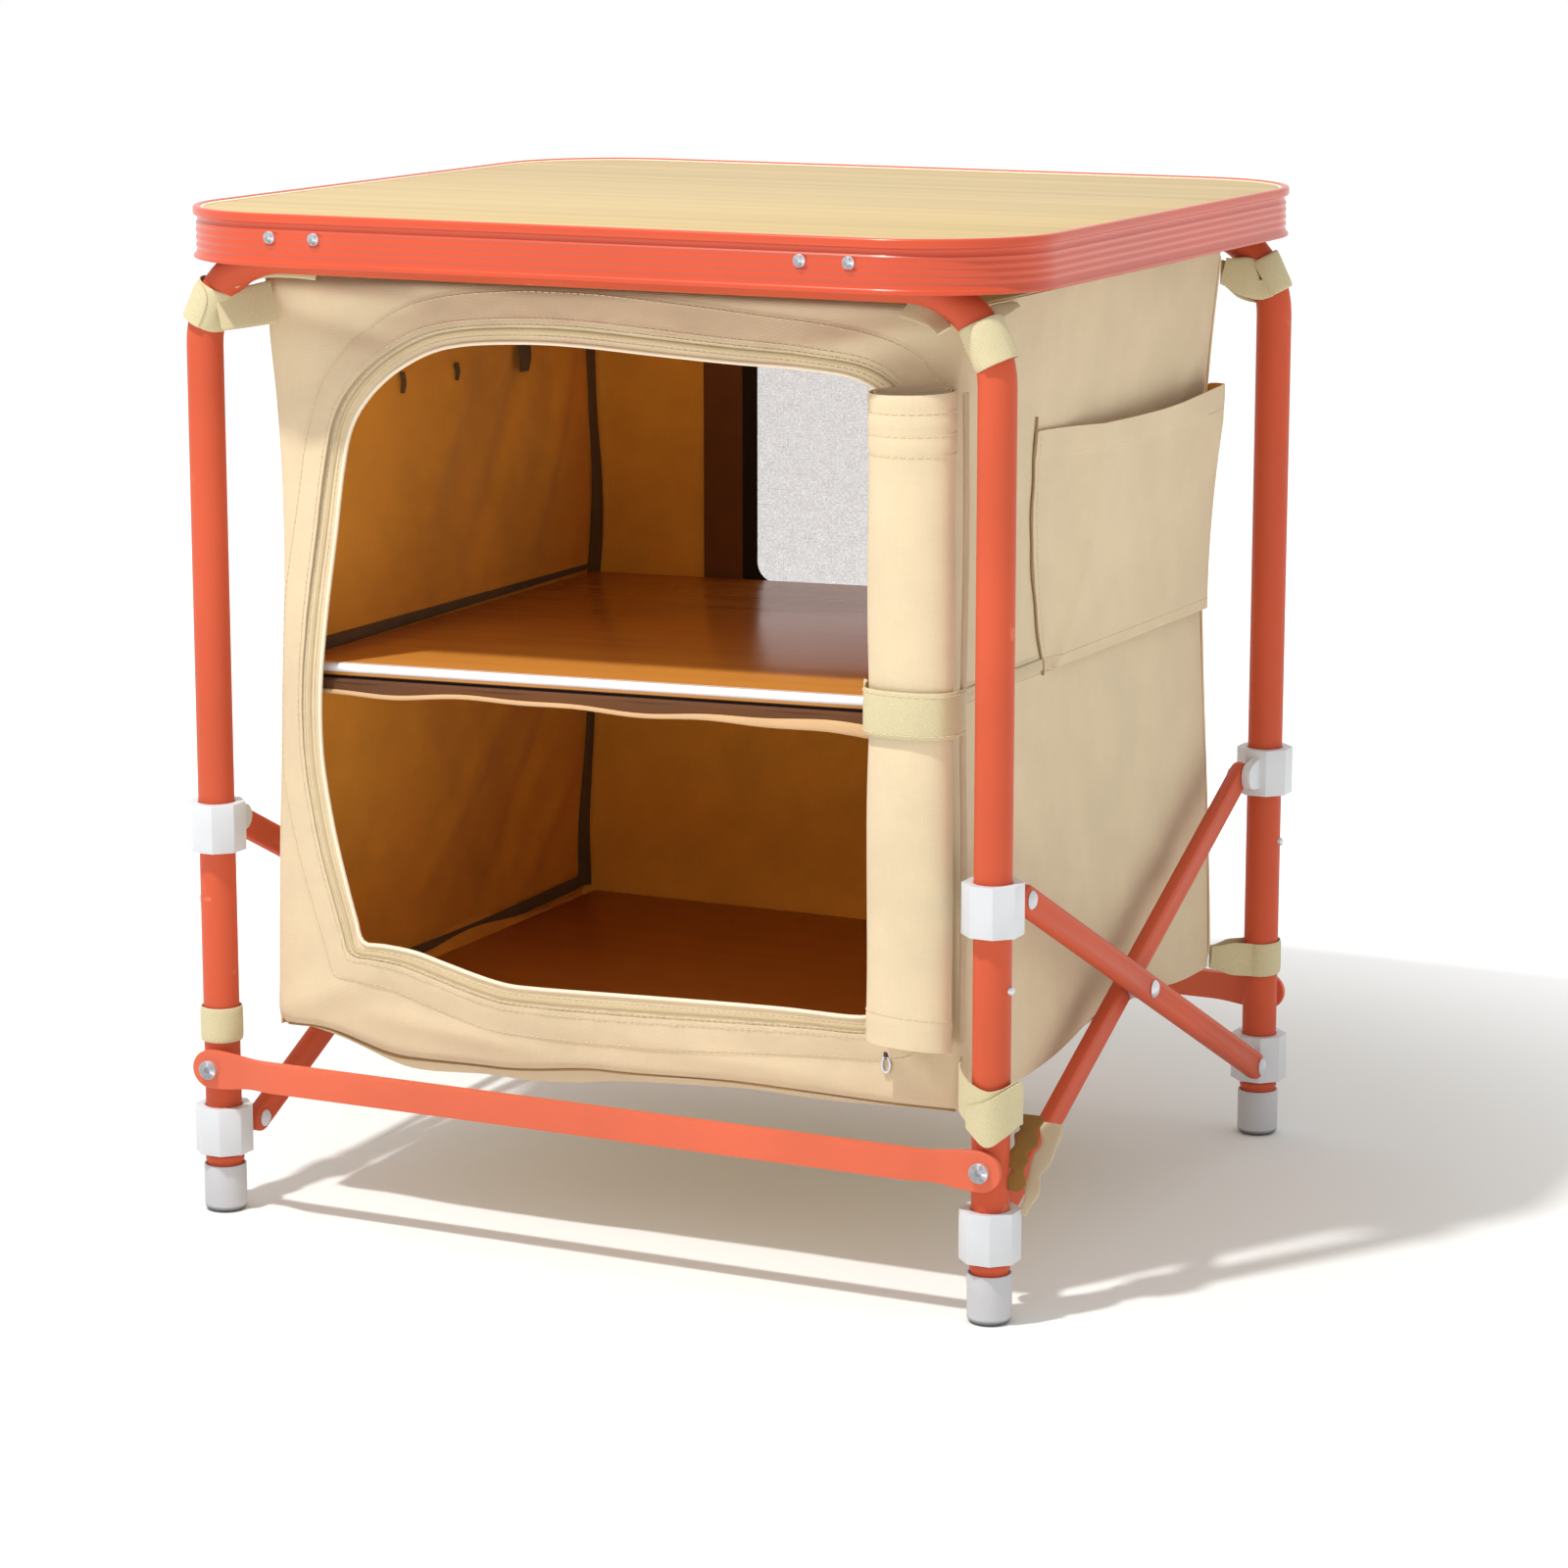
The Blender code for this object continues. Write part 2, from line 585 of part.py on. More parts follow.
def bend_route(side, end, start, stop):
    """The middle line of a stretch of the bend, with a point at each facet's corner."""
    facet = 90 / BEND_STEPS
    corners = [facet * i for i in range(BEND_STEPS + 1) if start < facet * i < stop]
    return [bend_point(side, end, degrees) for degrees in [start] + corners + [stop]]


def frame_route(end, extra=0.0):
    """The middle line of one frame tube, from the left foot to the right foot."""
    foot = Vector((LEG_X, end * LEG_Y, TUBE_BOTTOM - extra))
    half = [foot] + bend_route(1, end, 0, 90)
    mirrored = [Vector((-point.x, point.y, point.z)) for point in half]
    return mirrored + half[::-1]


def build_frame_tubes():
    for end_name, end in ENDS.items():
        outer = pipe(frame_route(end), TUBE_RADIUS)
        bore = pipe(frame_route(end, extra=2 * TUBE_WALL), TUBE_RADIUS - TUBE_WALL)
        holes = []
        for side in SIDES.values():
            button_place = (side * (LEG_X + TUBE_RADIUS), end * LEG_Y, BUTTON_Z)
            holes.append(prism(button_place, BUTTON_RADIUS + RUNNING, TUBE_RADIUS, "X", sides=10))
            rivet_place = (side * LEG_X, end * (LEG_Y + TUBE_RADIUS), BAR_Z)
            holes.append(prism(rivet_place, RIVET_RADIUS + RUNNING, TUBE_RADIUS, "Y", sides=10))
        tube = link(f"{end_name}_frame_tube", cut(outer, bore, *holes), "frame")
        smooth(tube)


def build_feet():
    socket = TUBE_RADIUS + GAP
    outside = socket + FOOT_WALL
    profile = [(0.0, FOOT_FLOOR), (socket, FOOT_FLOOR), (socket, FOOT_HEIGHT)]
    profile += [(outside - FOOT_LIP, FOOT_HEIGHT), (outside, FOOT_HEIGHT - FOOT_LIP)]
    profile += [(outside, FOOT_CHAMFER), (outside - FOOT_CHAMFER, 0.0), (0.0, 0.0)]
    for end_name, end in ENDS.items():
        for side_name, side in SIDES.items():
            mesh = turned(profile, (side * LEG_X, end * LEG_Y, 0.0), "Z", steps=16)
            smooth(link(f"foot_{end_name}_{side_name}", mesh, "foot"))


# Collars and braces

def collar(side, end, height, brace_side):
    """An eight-sided collar with an ear towards the other leg, and the pin that carries a brace.
    The pin stands out of the ear on the outer side for +1 and on the inner side for -1."""
    leg = Vector((side * LEG_X, end * LEG_Y, height))
    radius = COLLAR_FLATS / 2 / math.cos(math.radians(22.5))
    body = prism((0.0, 0.0, 0.0), radius, COLLAR_HEIGHT, "Z", sides=8)
    body.transform(Matrix.Translation(leg) @ Matrix.Rotation(math.radians(22.5), 4, "Z"))
    towards = -end
    pin_y = leg.y + towards * EAR_REACH
    root_y = leg.y + towards * (COLLAR_FLATS / 2 - EAR_FLARE)
    start, stop = (-90, 90) if towards > 0 else (270, 90)
    ear_radius = PIN_RADIUS + EAR_MARGIN
    outline = [(root_y, leg.z - ear_radius - EAR_FLARE)]
    outline += arc(pin_y, leg.z, ear_radius, start, stop, 6)
    outline += [(root_y, leg.z + ear_radius + EAR_FLARE)]
    ear = plate([outline], EAR_THICKNESS, "YZ", (leg.x, 0.0, 0.0))
    out = side * brace_side
    head_face = BRACE_OFFSET + BRACE_THICKNESS / 2 + GAP
    profile = dome(PIN_RADIUS + PIN_HEAD_LAP, PIN_HEAD_HEIGHT)
    profile += [(PIN_RADIUS, 0.0), (PIN_RADIUS, -head_face), (0.0, -head_face)]
    place = (leg.x + out * head_face, pin_y, leg.z)
    pin = turned(profile, place, "X" if out > 0 else "-X", steps=10)
    bore = prism(leg, TUBE_RADIUS + RUNNING, COLLAR_HEIGHT * 2, "Z", sides=16)
    return cut(join(body, ear, pin), bore)


def brace_places(side, outer):
    """The front and rear pivots of a brace, and the distance of its middle plane from the centre."""
    front_z = UPPER_COLLAR_Z if outer else LOWER_COLLAR_Z
    rear_z = LOWER_COLLAR_Z if outer else UPPER_COLLAR_Z
    x = side * (LEG_X + (BRACE_OFFSET if outer else -BRACE_OFFSET))
    return Vector((x, -PIVOT_Y, front_z)), Vector((x, PIVOT_Y, rear_z))


def build_collars():
    for end_name, end in ENDS.items():
        for side_name, side in SIDES.items():
            lower_takes = 1 if end > 0 else -1
            pivot_lower = (side * LEG_X, end * PIVOT_Y, LOWER_COLLAR_Z)
            lower = collar(side, end, LOWER_COLLAR_Z, lower_takes)
            smooth(link(f"lower_collar_{end_name}_{side_name}", lower, "collar", pivot_lower))
            pivot_upper = (side * LEG_X, end * PIVOT_Y, UPPER_COLLAR_Z)
            upper = collar(side, end, UPPER_COLLAR_Z, -lower_takes)
            smooth(link(f"upper_collar_{end_name}_{side_name}", upper, "collar", pivot_upper))


def brace(side, outer):
    front, rear = brace_places(side, outer)
    half = BRACE_LENGTH / 2
    radius = BRACE_WIDTH / 2
    loop = arc(half, 0.0, radius, -90, 90, 6) + arc(-half, 0.0, radius, 90, 270, 6)
    blank = bevelled(plate([loop], BRACE_THICKNESS, "YZ"), BRACE_EDGE, 2)
    holes = [prism((0.0, y, 0.0), PIN_RADIUS + RUNNING, BRACE_THICKNESS * 2, "X", sides=10)
             for y in (-half, 0.0, half)]
    drilled = cut(blank, *holes)
    slope = -BRACE_ANGLE if outer else BRACE_ANGLE
    middle = (front + rear) / 2
    drilled.transform(Matrix.Translation(middle) @ Matrix.Rotation(slope, 4, "X"))
    return drilled


def build_braces():
    for side_name, side in SIDES.items():
        for kind, outer in (("outer", True), ("inner", False)):
            front, rear = brace_places(side, outer)
            pivot = (front + rear) / 2 if outer else front
            smooth(link(f"brace_{kind}_{side_name}", brace(side, outer), "frame", pivot))


def build_centre_pivots():
    """The rivet where two braces cross, with the spacer that keeps them apart."""
    half_spacer = EAR_THICKNESS / 2
    spacer_radius = PIN_RADIUS + SPACER_WALL
    head_face = BRACE_OFFSET + BRACE_THICKNESS / 2 + GAP
    profile = dome(PIN_RADIUS + PIN_HEAD_LAP, PIN_HEAD_HEIGHT)
    profile = [(r, h + head_face) for r, h in profile]
    profile += [(PIN_RADIUS, head_face), (PIN_RADIUS, half_spacer), (spacer_radius, half_spacer)]
    profile += [(r, -h) for r, h in reversed(profile)]
    for side_name, side in SIDES.items():
        centre = (side * LEG_X, 0.0, CENTRE_Z)
        mesh = turned(profile, centre, "X", steps=10)
        smooth(link(f"centre_pivot_{side_name}", mesh, "steel", centre))


# Bars between the legs, and snap buttons

def build_cross_bars():
    reach = LEG_X - BAR_TAB_LENGTH
    for end_name, end in ENDS.items():
        face = end * BAR_Y
        low_y, high_y = sorted((face, face + end * BAR_THICKNESS))
        middle = box((-reach, low_y, BAR_Z - BAR_WIDTH / 2), (reach, high_y, BAR_Z + BAR_WIDTH / 2))
        middle = bevelled(middle, BAR_EDGE, 2, lambda e: abs(e.verts[0].co.x - e.verts[1].co.x) > reach)
        neck = BAR_WIDTH / 2 - BAR_EDGE
        root = reach - BAR_TAB_LAP
        loop = arc(LEG_X, BAR_Z, BAR_TAB_RADIUS, -BAR_TAB_ARC, BAR_TAB_ARC, 9)
        loop = [(root, BAR_Z - neck)] + loop + [(root, BAR_Z + neck)]
        centre = (0.0, face + end * BAR_TAB / 2, 0.0)
        right = plate([loop], BAR_TAB, "XZ", centre)
        left = plate([[(-x, z) for x, z in reversed(loop)]], BAR_TAB, "XZ", centre)
        holes = [prism((side * LEG_X, face, BAR_Z), RIVET_RADIUS + RUNNING, BAR_THICKNESS * 3, "Y", 10)
                 for side in SIDES.values()]
        smooth(link(f"{end_name}_cross_bar", cut(join(middle, right, left), *holes), "frame"))


def build_bar_rivets():
    head_face = BAR_Y + BAR_TAB + GAP
    tail_radius = RIVET_RADIUS + RIVET_TAIL_LAP
    length = head_face - LEG_Y - seat_inside_tube(tail_radius)
    profile = dome(RIVET_RADIUS + RIVET_HEAD_LAP, RIVET_HEAD_HEIGHT)
    profile += [(RIVET_RADIUS, 0.0), (RIVET_RADIUS, -length), (tail_radius, -length)]
    profile += [(tail_radius, -length - RIVET_TAIL_HEIGHT), (0.0, -length - RIVET_TAIL_HEIGHT)]
    for end_name, end in ENDS.items():
        for side_name, side in SIDES.items():
            place = (side * LEG_X, end * head_face, BAR_Z)
            mesh = turned(profile, place, "Y" if end > 0 else "-Y", steps=10)
            smooth(link(f"{end_name}_bar_rivet_{side_name}", mesh, "steel"))


def build_snap_buttons():
    tip = TUBE_RADIUS + BUTTON_REACH
    flange_radius = BUTTON_RADIUS + BUTTON_FLANGE_LAP
    seat = seat_inside_tube(flange_radius)
    profile = [(0.0, tip), (BUTTON_RADIUS * 0.7, tip - BUTTON_ROUNDING * 0.3)]
    profile += [(BUTTON_RADIUS, tip - BUTTON_ROUNDING), (BUTTON_RADIUS, seat)]
    profile += [(flange_radius, seat), (flange_radius, seat - BUTTON_FLANGE)]
    profile += [(0.0, seat - BUTTON_FLANGE)]
    for end_name, end in ENDS.items():
        for side_name, side in SIDES.items():
            place = (side * LEG_X, end * LEG_Y, BUTTON_Z)
            mesh = turned(profile, place, "X" if side > 0 else "-X", steps=10)
            smooth(link(f"snap_button_{end_name}_{side_name}", mesh, "steel", place))


# Bag

def bag_half_width(z):
    """The bag is drawn in between its bottom and its top, most of all above the shelf."""
    share = (z - BAG_BOTTOM) / (BAG_TOP - BAG_BOTTOM)
    share = min(max(share, 0.0), 1.0)
    return BAG_HALF_WIDTH - BAG_WAIST * math.sin(math.pi * share ** 1.6)


def bag_bottom(x):
    """The bottom hangs lowest in the middle."""
    return BAG_BOTTOM - BAG_SAG * (1 - (x / BAG_HALF_WIDTH) ** 2)


def panel_outline(steps=8):
    """The outline of the bag's front and back, with its drawn-in sides and its hanging bottom."""
    right = []
    for i in range(steps + 1):
        z = BAG_BOTTOM + (BAG_TOP - BAG_BOTTOM) * i / steps
        right.append((bag_half_width(z), z))
    bottom = []
    for i in range(1, steps):
        x = BAG_HALF_WIDTH * (-1 + 2 * i / steps)
        bottom.append((x, bag_bottom(x)))
    return bottom + right + [(-x, z) for x, z in reversed(right)]


def build_bag_front():
    opening = rounded_loop(-DOOR_HALF_WIDTH, DOOR_HALF_WIDTH, DOOR_BOTTOM, DOOR_TOP,
                           DOOR_BOTTOM_CORNER, DOOR_TOP_CORNER, steps=8)
    centre = (0.0, -BAG_HALF_DEPTH + CLOTH / 2, 0.0)
    link("bag_front", plate([panel_outline(), opening], CLOTH, "XZ", centre), "cloth")


def build_bag_back():
    window = rounded_loop(-WINDOW_HALF_WIDTH, WINDOW_HALF_WIDTH, WINDOW_BOTTOM, WINDOW_TOP,
                          WINDOW_CORNER, WINDOW_CORNER, steps=4)
    centre = (0.0, BAG_HALF_DEPTH - CLOTH / 2, 0.0)
    link("bag_back", plate([panel_outline(), window], CLOTH, "XZ", centre), "cloth")
    half = WINDOW_HALF_WIDTH + NET_MARGIN
    net = rounded_loop(-half, half, WINDOW_BOTTOM - NET_MARGIN, WINDOW_TOP + NET_MARGIN,
                       WINDOW_CORNER, WINDOW_CORNER, steps=4)
    net_y = BAG_HALF_DEPTH - CLOTH - GAP - NET_THICKNESS / 2
    link("window_net", plate([net], NET_THICKNESS, "XZ", (0.0, net_y, 0.0)), "net")


def build_bag_sides(steps=10):
    depth = 2 * (BAG_HALF_DEPTH - CLOTH - GAP)
    for side_name, side in SIDES.items():
        heights = [BAG_BOTTOM + CLOTH + (BAG_TOP - BAG_BOTTOM - 2 * CLOTH) * i / steps
                   for i in range(steps + 1)]
        outer = [(side * bag_half_width(z), z) for z in heights]
        inner = [(side * (bag_half_width(z) - CLOTH), z) for z in reversed(heights)]
        link(f"bag_{side_name}", plate([outer + inner], depth, "XZ"), "cloth")


def build_bag_ends(steps=8):
    """The bottom and the roof of the bag."""
    depth = 2 * (BAG_HALF_DEPTH - CLOTH - GAP)
    half = BAG_HALF_WIDTH - CLOTH - GAP
    across = [half * (-1 + 2 * i / steps) for i in range(steps + 1)]
    below = [(x, bag_bottom(x)) for x in across]
    above = [(x, bag_bottom(x) + CLOTH) for x in reversed(across)]
    link("bag_bottom", plate([below + above], depth, "XZ"), "cloth")
    roof_half = bag_half_width(BAG_TOP - CLOTH) - CLOTH - GAP
    roof = box((-roof_half, -depth / 2, BAG_TOP - CLOTH), (roof_half, depth / 2, BAG_TOP))
    link("bag_top", roof, "cloth")


def build_pocket():
    """An open-topped pocket whose mouth stands away from the bag's right side."""
    inner = max(bag_half_width(POCKET_BOTTOM), bag_half_width(POCKET_TOP)) + GAP
    foot = inner + POCKET_FOOT
    outer_shape = [(inner, POCKET_BOTTOM), (foot, POCKET_BOTTOM), (POCKET_MOUTH, POCKET_TOP)]
    outer_shape += [(inner, POCKET_TOP)]
    hollow = [(inner - CLOTH, POCKET_BOTTOM + CLOTH), (foot - CLOTH, POCKET_BOTTOM + CLOTH)]
    hollow += [(POCKET_MOUTH - CLOTH, POCKET_TOP + CLOTH), (inner - CLOTH, POCKET_TOP + CLOTH)]
    middle = (POCKET_FRONT + POCKET_REAR) / 2
    length = POCKET_REAR - POCKET_FRONT
    solid = plate([outer_shape], length, "XZ", (0.0, middle, 0.0))
    space = plate([hollow], length - 2 * CLOTH, "XZ", (0.0, middle, 0.0))
    link("side_pocket", cut(solid, space), "cloth")


# Rolled door

def build_roll():
    """The rolled door, with the step where its outer turn ends."""
    low_x, high_x = ROLL_LEFT, ROLL_LEFT + ROLL_WIDTH
    low_y, high_y = ROLL_Y - ROLL_DEPTH / 2, ROLL_Y + ROLL_DEPTH / 2
    loop = rounded_loop(low_x, high_x, low_y, high_y, ROLL_CORNER, ROLL_CORNER, steps=5)
    turn_end = ROLL_X - ROLL_WIDTH * 0.18
    stepped = [(x, y + ROLL_FLAP) if x < turn_end and y < ROLL_Y - ROLL_CORNER * 0.8 else (x, y)
               for x, y in loop]
    mesh = plate([stepped], ROLL_TOP - ROLL_BOTTOM, "XY", (0.0, 0.0, (ROLL_TOP + ROLL_BOTTOM) / 2))
    smooth(link("door_roll", mesh, "cloth"))


def build_door_strap():
    def band(offset):
        radius = ROLL_CORNER + offset
        return rounded_loop(ROLL_LEFT - offset, ROLL_LEFT + ROLL_WIDTH + offset,
                            ROLL_Y - ROLL_DEPTH / 2 - offset, ROLL_Y + ROLL_DEPTH / 2 + offset,
                            radius, radius, steps=5)
    centre = (0.0, 0.0, DOOR_STRAP_Z)
    mesh = plate([band(GAP + STRAP), band(GAP)], DOOR_STRAP_WIDTH, "XY", centre)
    smooth(link("door_strap", mesh, "webbing"))


def build_zip_pull():
    hinge = Vector((ROLL_LEFT + PULL_WIDTH, -(BAG_HALF_DEPTH + GAP + PULL_THICKNESS / 2), PULL_Z))
    heel = PULL_THICKNESS * 0.35
    loop = rounded_loop(hinge.x - PULL_WIDTH / 2, hinge.x + PULL_WIDTH / 2, PULL_Z - PULL_LENGTH,
                        PULL_Z + heel, PULL_WIDTH * 0.3, PULL_WIDTH * 0.45, steps=4)
    mesh = plate([loop], PULL_THICKNESS, "XZ", (0.0, hinge.y, 0.0))
    smooth(link("zip_pull", mesh, "steel", hinge))


# Corner straps

def strap_tail(start, end, width, plane_up):
    """A flat strip of webbing from start to end, on edge, with its width along plane_up."""
    along = end - start
    across = along.cross(plane_up).normalized()
    strip = box((0.0, -STRAP_TAIL / 2, -width / 2), (along.length, STRAP_TAIL / 2, width / 2))
    x_axis = along.normalized()
    frame = Matrix((x_axis, -across, plane_up)).transposed().to_4x4()
    strip.transform(Matrix.Translation(start) @ frame)
    return strip


def lower_strap(side, end):
    leg = Vector((side * LEG_X, end * LEG_Y, LOWER_STRAP_Z))
    rise = Vector((0.0, 0.0, LOWER_STRAP_WIDTH / 2))
    band = pipe([leg - rise, leg + rise], STRAP_OUTER)
    bore = pipe([leg - 2 * rise, leg + 2 * rise], STRAP_INNER)
    corner = Vector((side * (BAG_HALF_WIDTH + GAP), end * (BAG_HALF_DEPTH + 3 * GAP), leg.z))
    tail = strap_tail(leg, corner, LOWER_STRAP_WIDTH * 0.96, Vector((0.0, 0.0, 1.0)))
    return cut(join(band, tail), bore)


def upper_strap(side, end):
    """The band sits on the bend of the leg, so it follows the tube's facets."""
    half_angle = math.degrees(UPPER_STRAP_WIDTH / 2 / BEND_RADIUS)
    start, stop = UPPER_STRAP_ANGLE - half_angle, UPPER_STRAP_ANGLE + half_angle
    route = bend_route(side, end, start, stop)
    band = pipe(route, STRAP_OUTER)
    overrun = STRAP_BORE_OVERRUN
    bore = pipe(bend_route(side, end, start - overrun, stop + overrun), STRAP_INNER)
    middle = bend_point(side, end, UPPER_STRAP_ANGLE)
    up = (route[-1] - route[0]).normalized()
    corner = Vector((side * (BAG_HALF_WIDTH + GAP), end * (BAG_HALF_DEPTH + 3 * GAP), middle.z))
    sideways = (corner - middle) - up * (corner - middle).dot(up)
    tail = strap_tail(middle, middle + sideways, UPPER_STRAP_WIDTH * 0.9, up)
    return cut(join(band, tail), bore)


def build_straps():
    for end_name, end in ENDS.items():
        for side_name, side in SIDES.items():
            lower = lower_strap(side, end)
            smooth(link(f"strap_{end_name}_{side_name}_lower", lower, "webbing"))
            upper = upper_strap(side, end)
            smooth(link(f"strap_{end_name}_{side_name}_upper", upper, "webbing"))


# Boards

def build_shelf():
    """The board, and the angle rail that its front edge stands in. The board tips up about its
    front top edge, so it turns inside the rail."""
    board = box((-BOARD_HALF_WIDTH, -BOARD_HALF_DEPTH, SHELF_BOTTOM),
                (BOARD_HALF_WIDTH, BOARD_HALF_DEPTH, SHELF_TOP))
    link("shelf_board", board, "board", SHELF_PIVOT)
    front = -BOARD_HALF_DEPTH - GAP - RAIL_WALL
    flange_top = SHELF_BOTTOM - GAP
    section = [(front, flange_top - RAIL_WALL), (front + RAIL_DEPTH, flange_top - RAIL_WALL)]
    section += [(front + RAIL_DEPTH, flange_top), (front + RAIL_WALL, flange_top)]
    section += [(front + RAIL_WALL, SHELF_TOP), (front, SHELF_TOP)]
    rail = plate([section], 2 * BOARD_HALF_WIDTH, "YZ")
    link("shelf_front_rail", rail, "rail", (0.0, front, SHELF_BOTTOM))


def build_sling():
    """The cloth between the bag's sides that carries the shelf, with its hem in front of the rail."""
    top = SHELF_BOTTOM - GAP - RAIL_WALL - GAP
    front = -BOARD_HALF_DEPTH - 2 * GAP - RAIL_WALL - CLOTH
    section = [(front, top - SLING_HEM), (front + CLOTH, top - SLING_HEM), (front + CLOTH, top - CLOTH)]
    section += [(BOARD_HALF_DEPTH, top - CLOTH), (BOARD_HALF_DEPTH, top), (front, top)]
    half_width = bag_half_width(top) - CLOTH - GAP
    link("shelf_sling", plate([section], 2 * half_width, "YZ"), "cloth")


def build_floor():
    board = box((-BOARD_HALF_WIDTH, -BOARD_HALF_DEPTH, FLOOR_BOTTOM),
                (BOARD_HALF_WIDTH, BOARD_HALF_DEPTH, FLOOR_TOP))
    link("floor_board", board, "board", FLOOR_PIVOT)


build_rim()
build_panel()
build_saddles()
build_frame_tubes()
build_feet()
build_collars()
build_braces()
build_centre_pivots()
build_cross_bars()
build_bar_rivets()
build_snap_buttons()
build_bag_front()
build_bag_back()
build_bag_sides()
build_bag_ends()
build_pocket()
build_roll()
build_door_strap()
build_zip_pull()
build_straps()
build_shelf()
build_sling()
build_floor()
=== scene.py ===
import json
import math

import bpy
import numpy as np
from mathutils import Matrix, Vector, noise

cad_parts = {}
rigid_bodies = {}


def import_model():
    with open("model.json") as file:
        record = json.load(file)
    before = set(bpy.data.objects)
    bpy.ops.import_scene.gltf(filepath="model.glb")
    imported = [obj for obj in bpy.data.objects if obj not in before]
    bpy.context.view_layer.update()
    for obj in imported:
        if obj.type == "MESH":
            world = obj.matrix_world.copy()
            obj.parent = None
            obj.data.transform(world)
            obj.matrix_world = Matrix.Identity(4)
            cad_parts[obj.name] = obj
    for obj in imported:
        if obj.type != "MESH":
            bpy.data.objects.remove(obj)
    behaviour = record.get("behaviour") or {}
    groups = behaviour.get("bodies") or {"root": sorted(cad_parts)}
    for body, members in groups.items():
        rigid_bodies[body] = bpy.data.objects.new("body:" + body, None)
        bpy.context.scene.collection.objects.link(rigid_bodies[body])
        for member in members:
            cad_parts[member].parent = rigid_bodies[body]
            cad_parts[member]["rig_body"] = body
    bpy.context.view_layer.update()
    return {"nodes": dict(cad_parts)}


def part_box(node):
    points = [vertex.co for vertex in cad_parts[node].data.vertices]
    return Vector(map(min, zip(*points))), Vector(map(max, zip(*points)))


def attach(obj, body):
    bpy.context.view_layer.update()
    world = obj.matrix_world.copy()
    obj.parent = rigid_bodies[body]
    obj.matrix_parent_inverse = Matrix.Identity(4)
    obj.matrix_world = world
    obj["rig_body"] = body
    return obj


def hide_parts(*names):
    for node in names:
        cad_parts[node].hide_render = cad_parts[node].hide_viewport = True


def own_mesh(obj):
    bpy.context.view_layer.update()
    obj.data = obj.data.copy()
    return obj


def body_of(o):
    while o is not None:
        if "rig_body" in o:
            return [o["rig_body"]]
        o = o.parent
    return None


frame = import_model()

# Where the frame's tubes stand
LEG_X = 0.233
LEG_Y = 0.200
TUBE_RADIUS = 0.010
TOP_BAR_Z = 0.535
BEND_RADIUS = 0.050

# The cloth bag
CLOTH = 0.0011
BAG_SIDE = 0.210
BAG_WAIST = 0.010
BAG_LOW = 0.104
BAG_HIGH = 0.523
BAG_FACE = 0.182
CORNER_ROLL = 0.006
BOTTOM_SAG = 0.0055

DOOR_MIDDLE = (0, 0.316)
DOOR_EDGE = (
    (0.151, 0.1495), (0.106, 0.149), (0.048, 0.147), (0.001, 0.145), (-0.043, 0.1434),
    (-0.061, 0.1436), (-0.080, 0.147), (-0.099, 0.1515), (-0.118, 0.156), (-0.137, 0.1574),
    (-0.1505, 0.158), (-0.1545, 0.170), (-0.160, 0.1895), (-0.168, 0.222), (-0.1735, 0.255),
    (-0.1745, 0.280), (-0.173, 0.310), (-0.169, 0.343), (-0.164, 0.3755), (-0.1575, 0.419),
    (-0.150, 0.446), (-0.1325, 0.467), (-0.108, 0.4825), (-0.084, 0.4895), (-0.048, 0.4925),
    (-0.0125, 0.4925), (0.034, 0.490), (0.079, 0.488), (0.117, 0.487), (0.148, 0.4835),
    (0.167, 0.472), (0.175, 0.452), (0.1765, 0.420), (0.1755, 0.350), (0.176, 0.280),
    (0.1755, 0.220), (0.173, 0.175), (0.166, 0.156),
)
FRONT_SEAM = (
    (-0.215, 0.1042), (-0.1877, 0.1046), (-0.128, 0.0930), (-0.072, 0.0940),
    (0.0, 0.1004), (0.083, 0.1034), (0.163, 0.1026), (0.215, 0.1032),
)
WINDOW_MIDDLE = (0, 0.391)
WINDOW_HALF = (0.094, 0.087)
WINDOW_CORNER = 0.012

# Colours, as the screen shows them
CORAL = (204, 88, 58)
# Painted light: a lighter copy of the frame's coral, for the bar's brighter lit face
BAR_CORAL_LIT = (222, 106, 76)
RIM_CORAL = (204, 74, 38)
CANVAS = (222, 202, 167)
# Inner face of the cloth: its own colour pushed to a saturated orange, as painted glow of light shining
# through the canvas
LINING_PAINTED_GLOW = (242, 176, 60)
WEBBING = (214, 201, 160)
EDGING = (250, 236, 208)
THREAD = (232, 214, 180)
BINDING = (104, 84, 54)
WINDOW_TAPE = (116, 72, 32)
WINDOW_BLACK = (36, 26, 16)
# Painted shade: the sling's dark brown stands in for the shadow on its drop under the rail
SLING_SHADE_BROWN = (104, 62, 30)
SLING_HEM = (216, 176, 130)
COIL = (206, 184, 144)
RAIL_SHADE = (58, 34, 20)
# Painted shade: darker cloth for cords that stand in for the shade of a crease or fold
SEAM_SHADE = (186, 154, 108)
# Painted shade: the turned-back strap's brown stands in for its inner side in shadow
STRAP_BACK_SHADE = (146, 104, 46)
SLIDER = (52, 44, 36)
SCREEN = (216, 214, 217)
BAMBOO = (196, 169, 112)
BOARD = (204, 138, 60)
# Painted shade: the floor board is a darker copy of the shelf board's colour, for a floor that lies in
# shade
FLOOR_BOARD_SHADED = (180, 112, 46)
COLLAR = (214, 216, 219)
FOOT = (196, 195, 197)
ALUMINIUM = (244, 244, 248)
STEEL = (214, 215, 220)


def colour(shade, scale=1.0):
    """A screen colour, from 0 to 255, as the linear colour that a socket takes."""
    parts = []
    for part in shade:
        share = part / 255
        linear = share / 12.92 if share <= 0.04045 else ((share + 0.055) / 1.055) ** 2.4
        parts.append(min(1.0, linear * scale))
    return (*parts, 1)


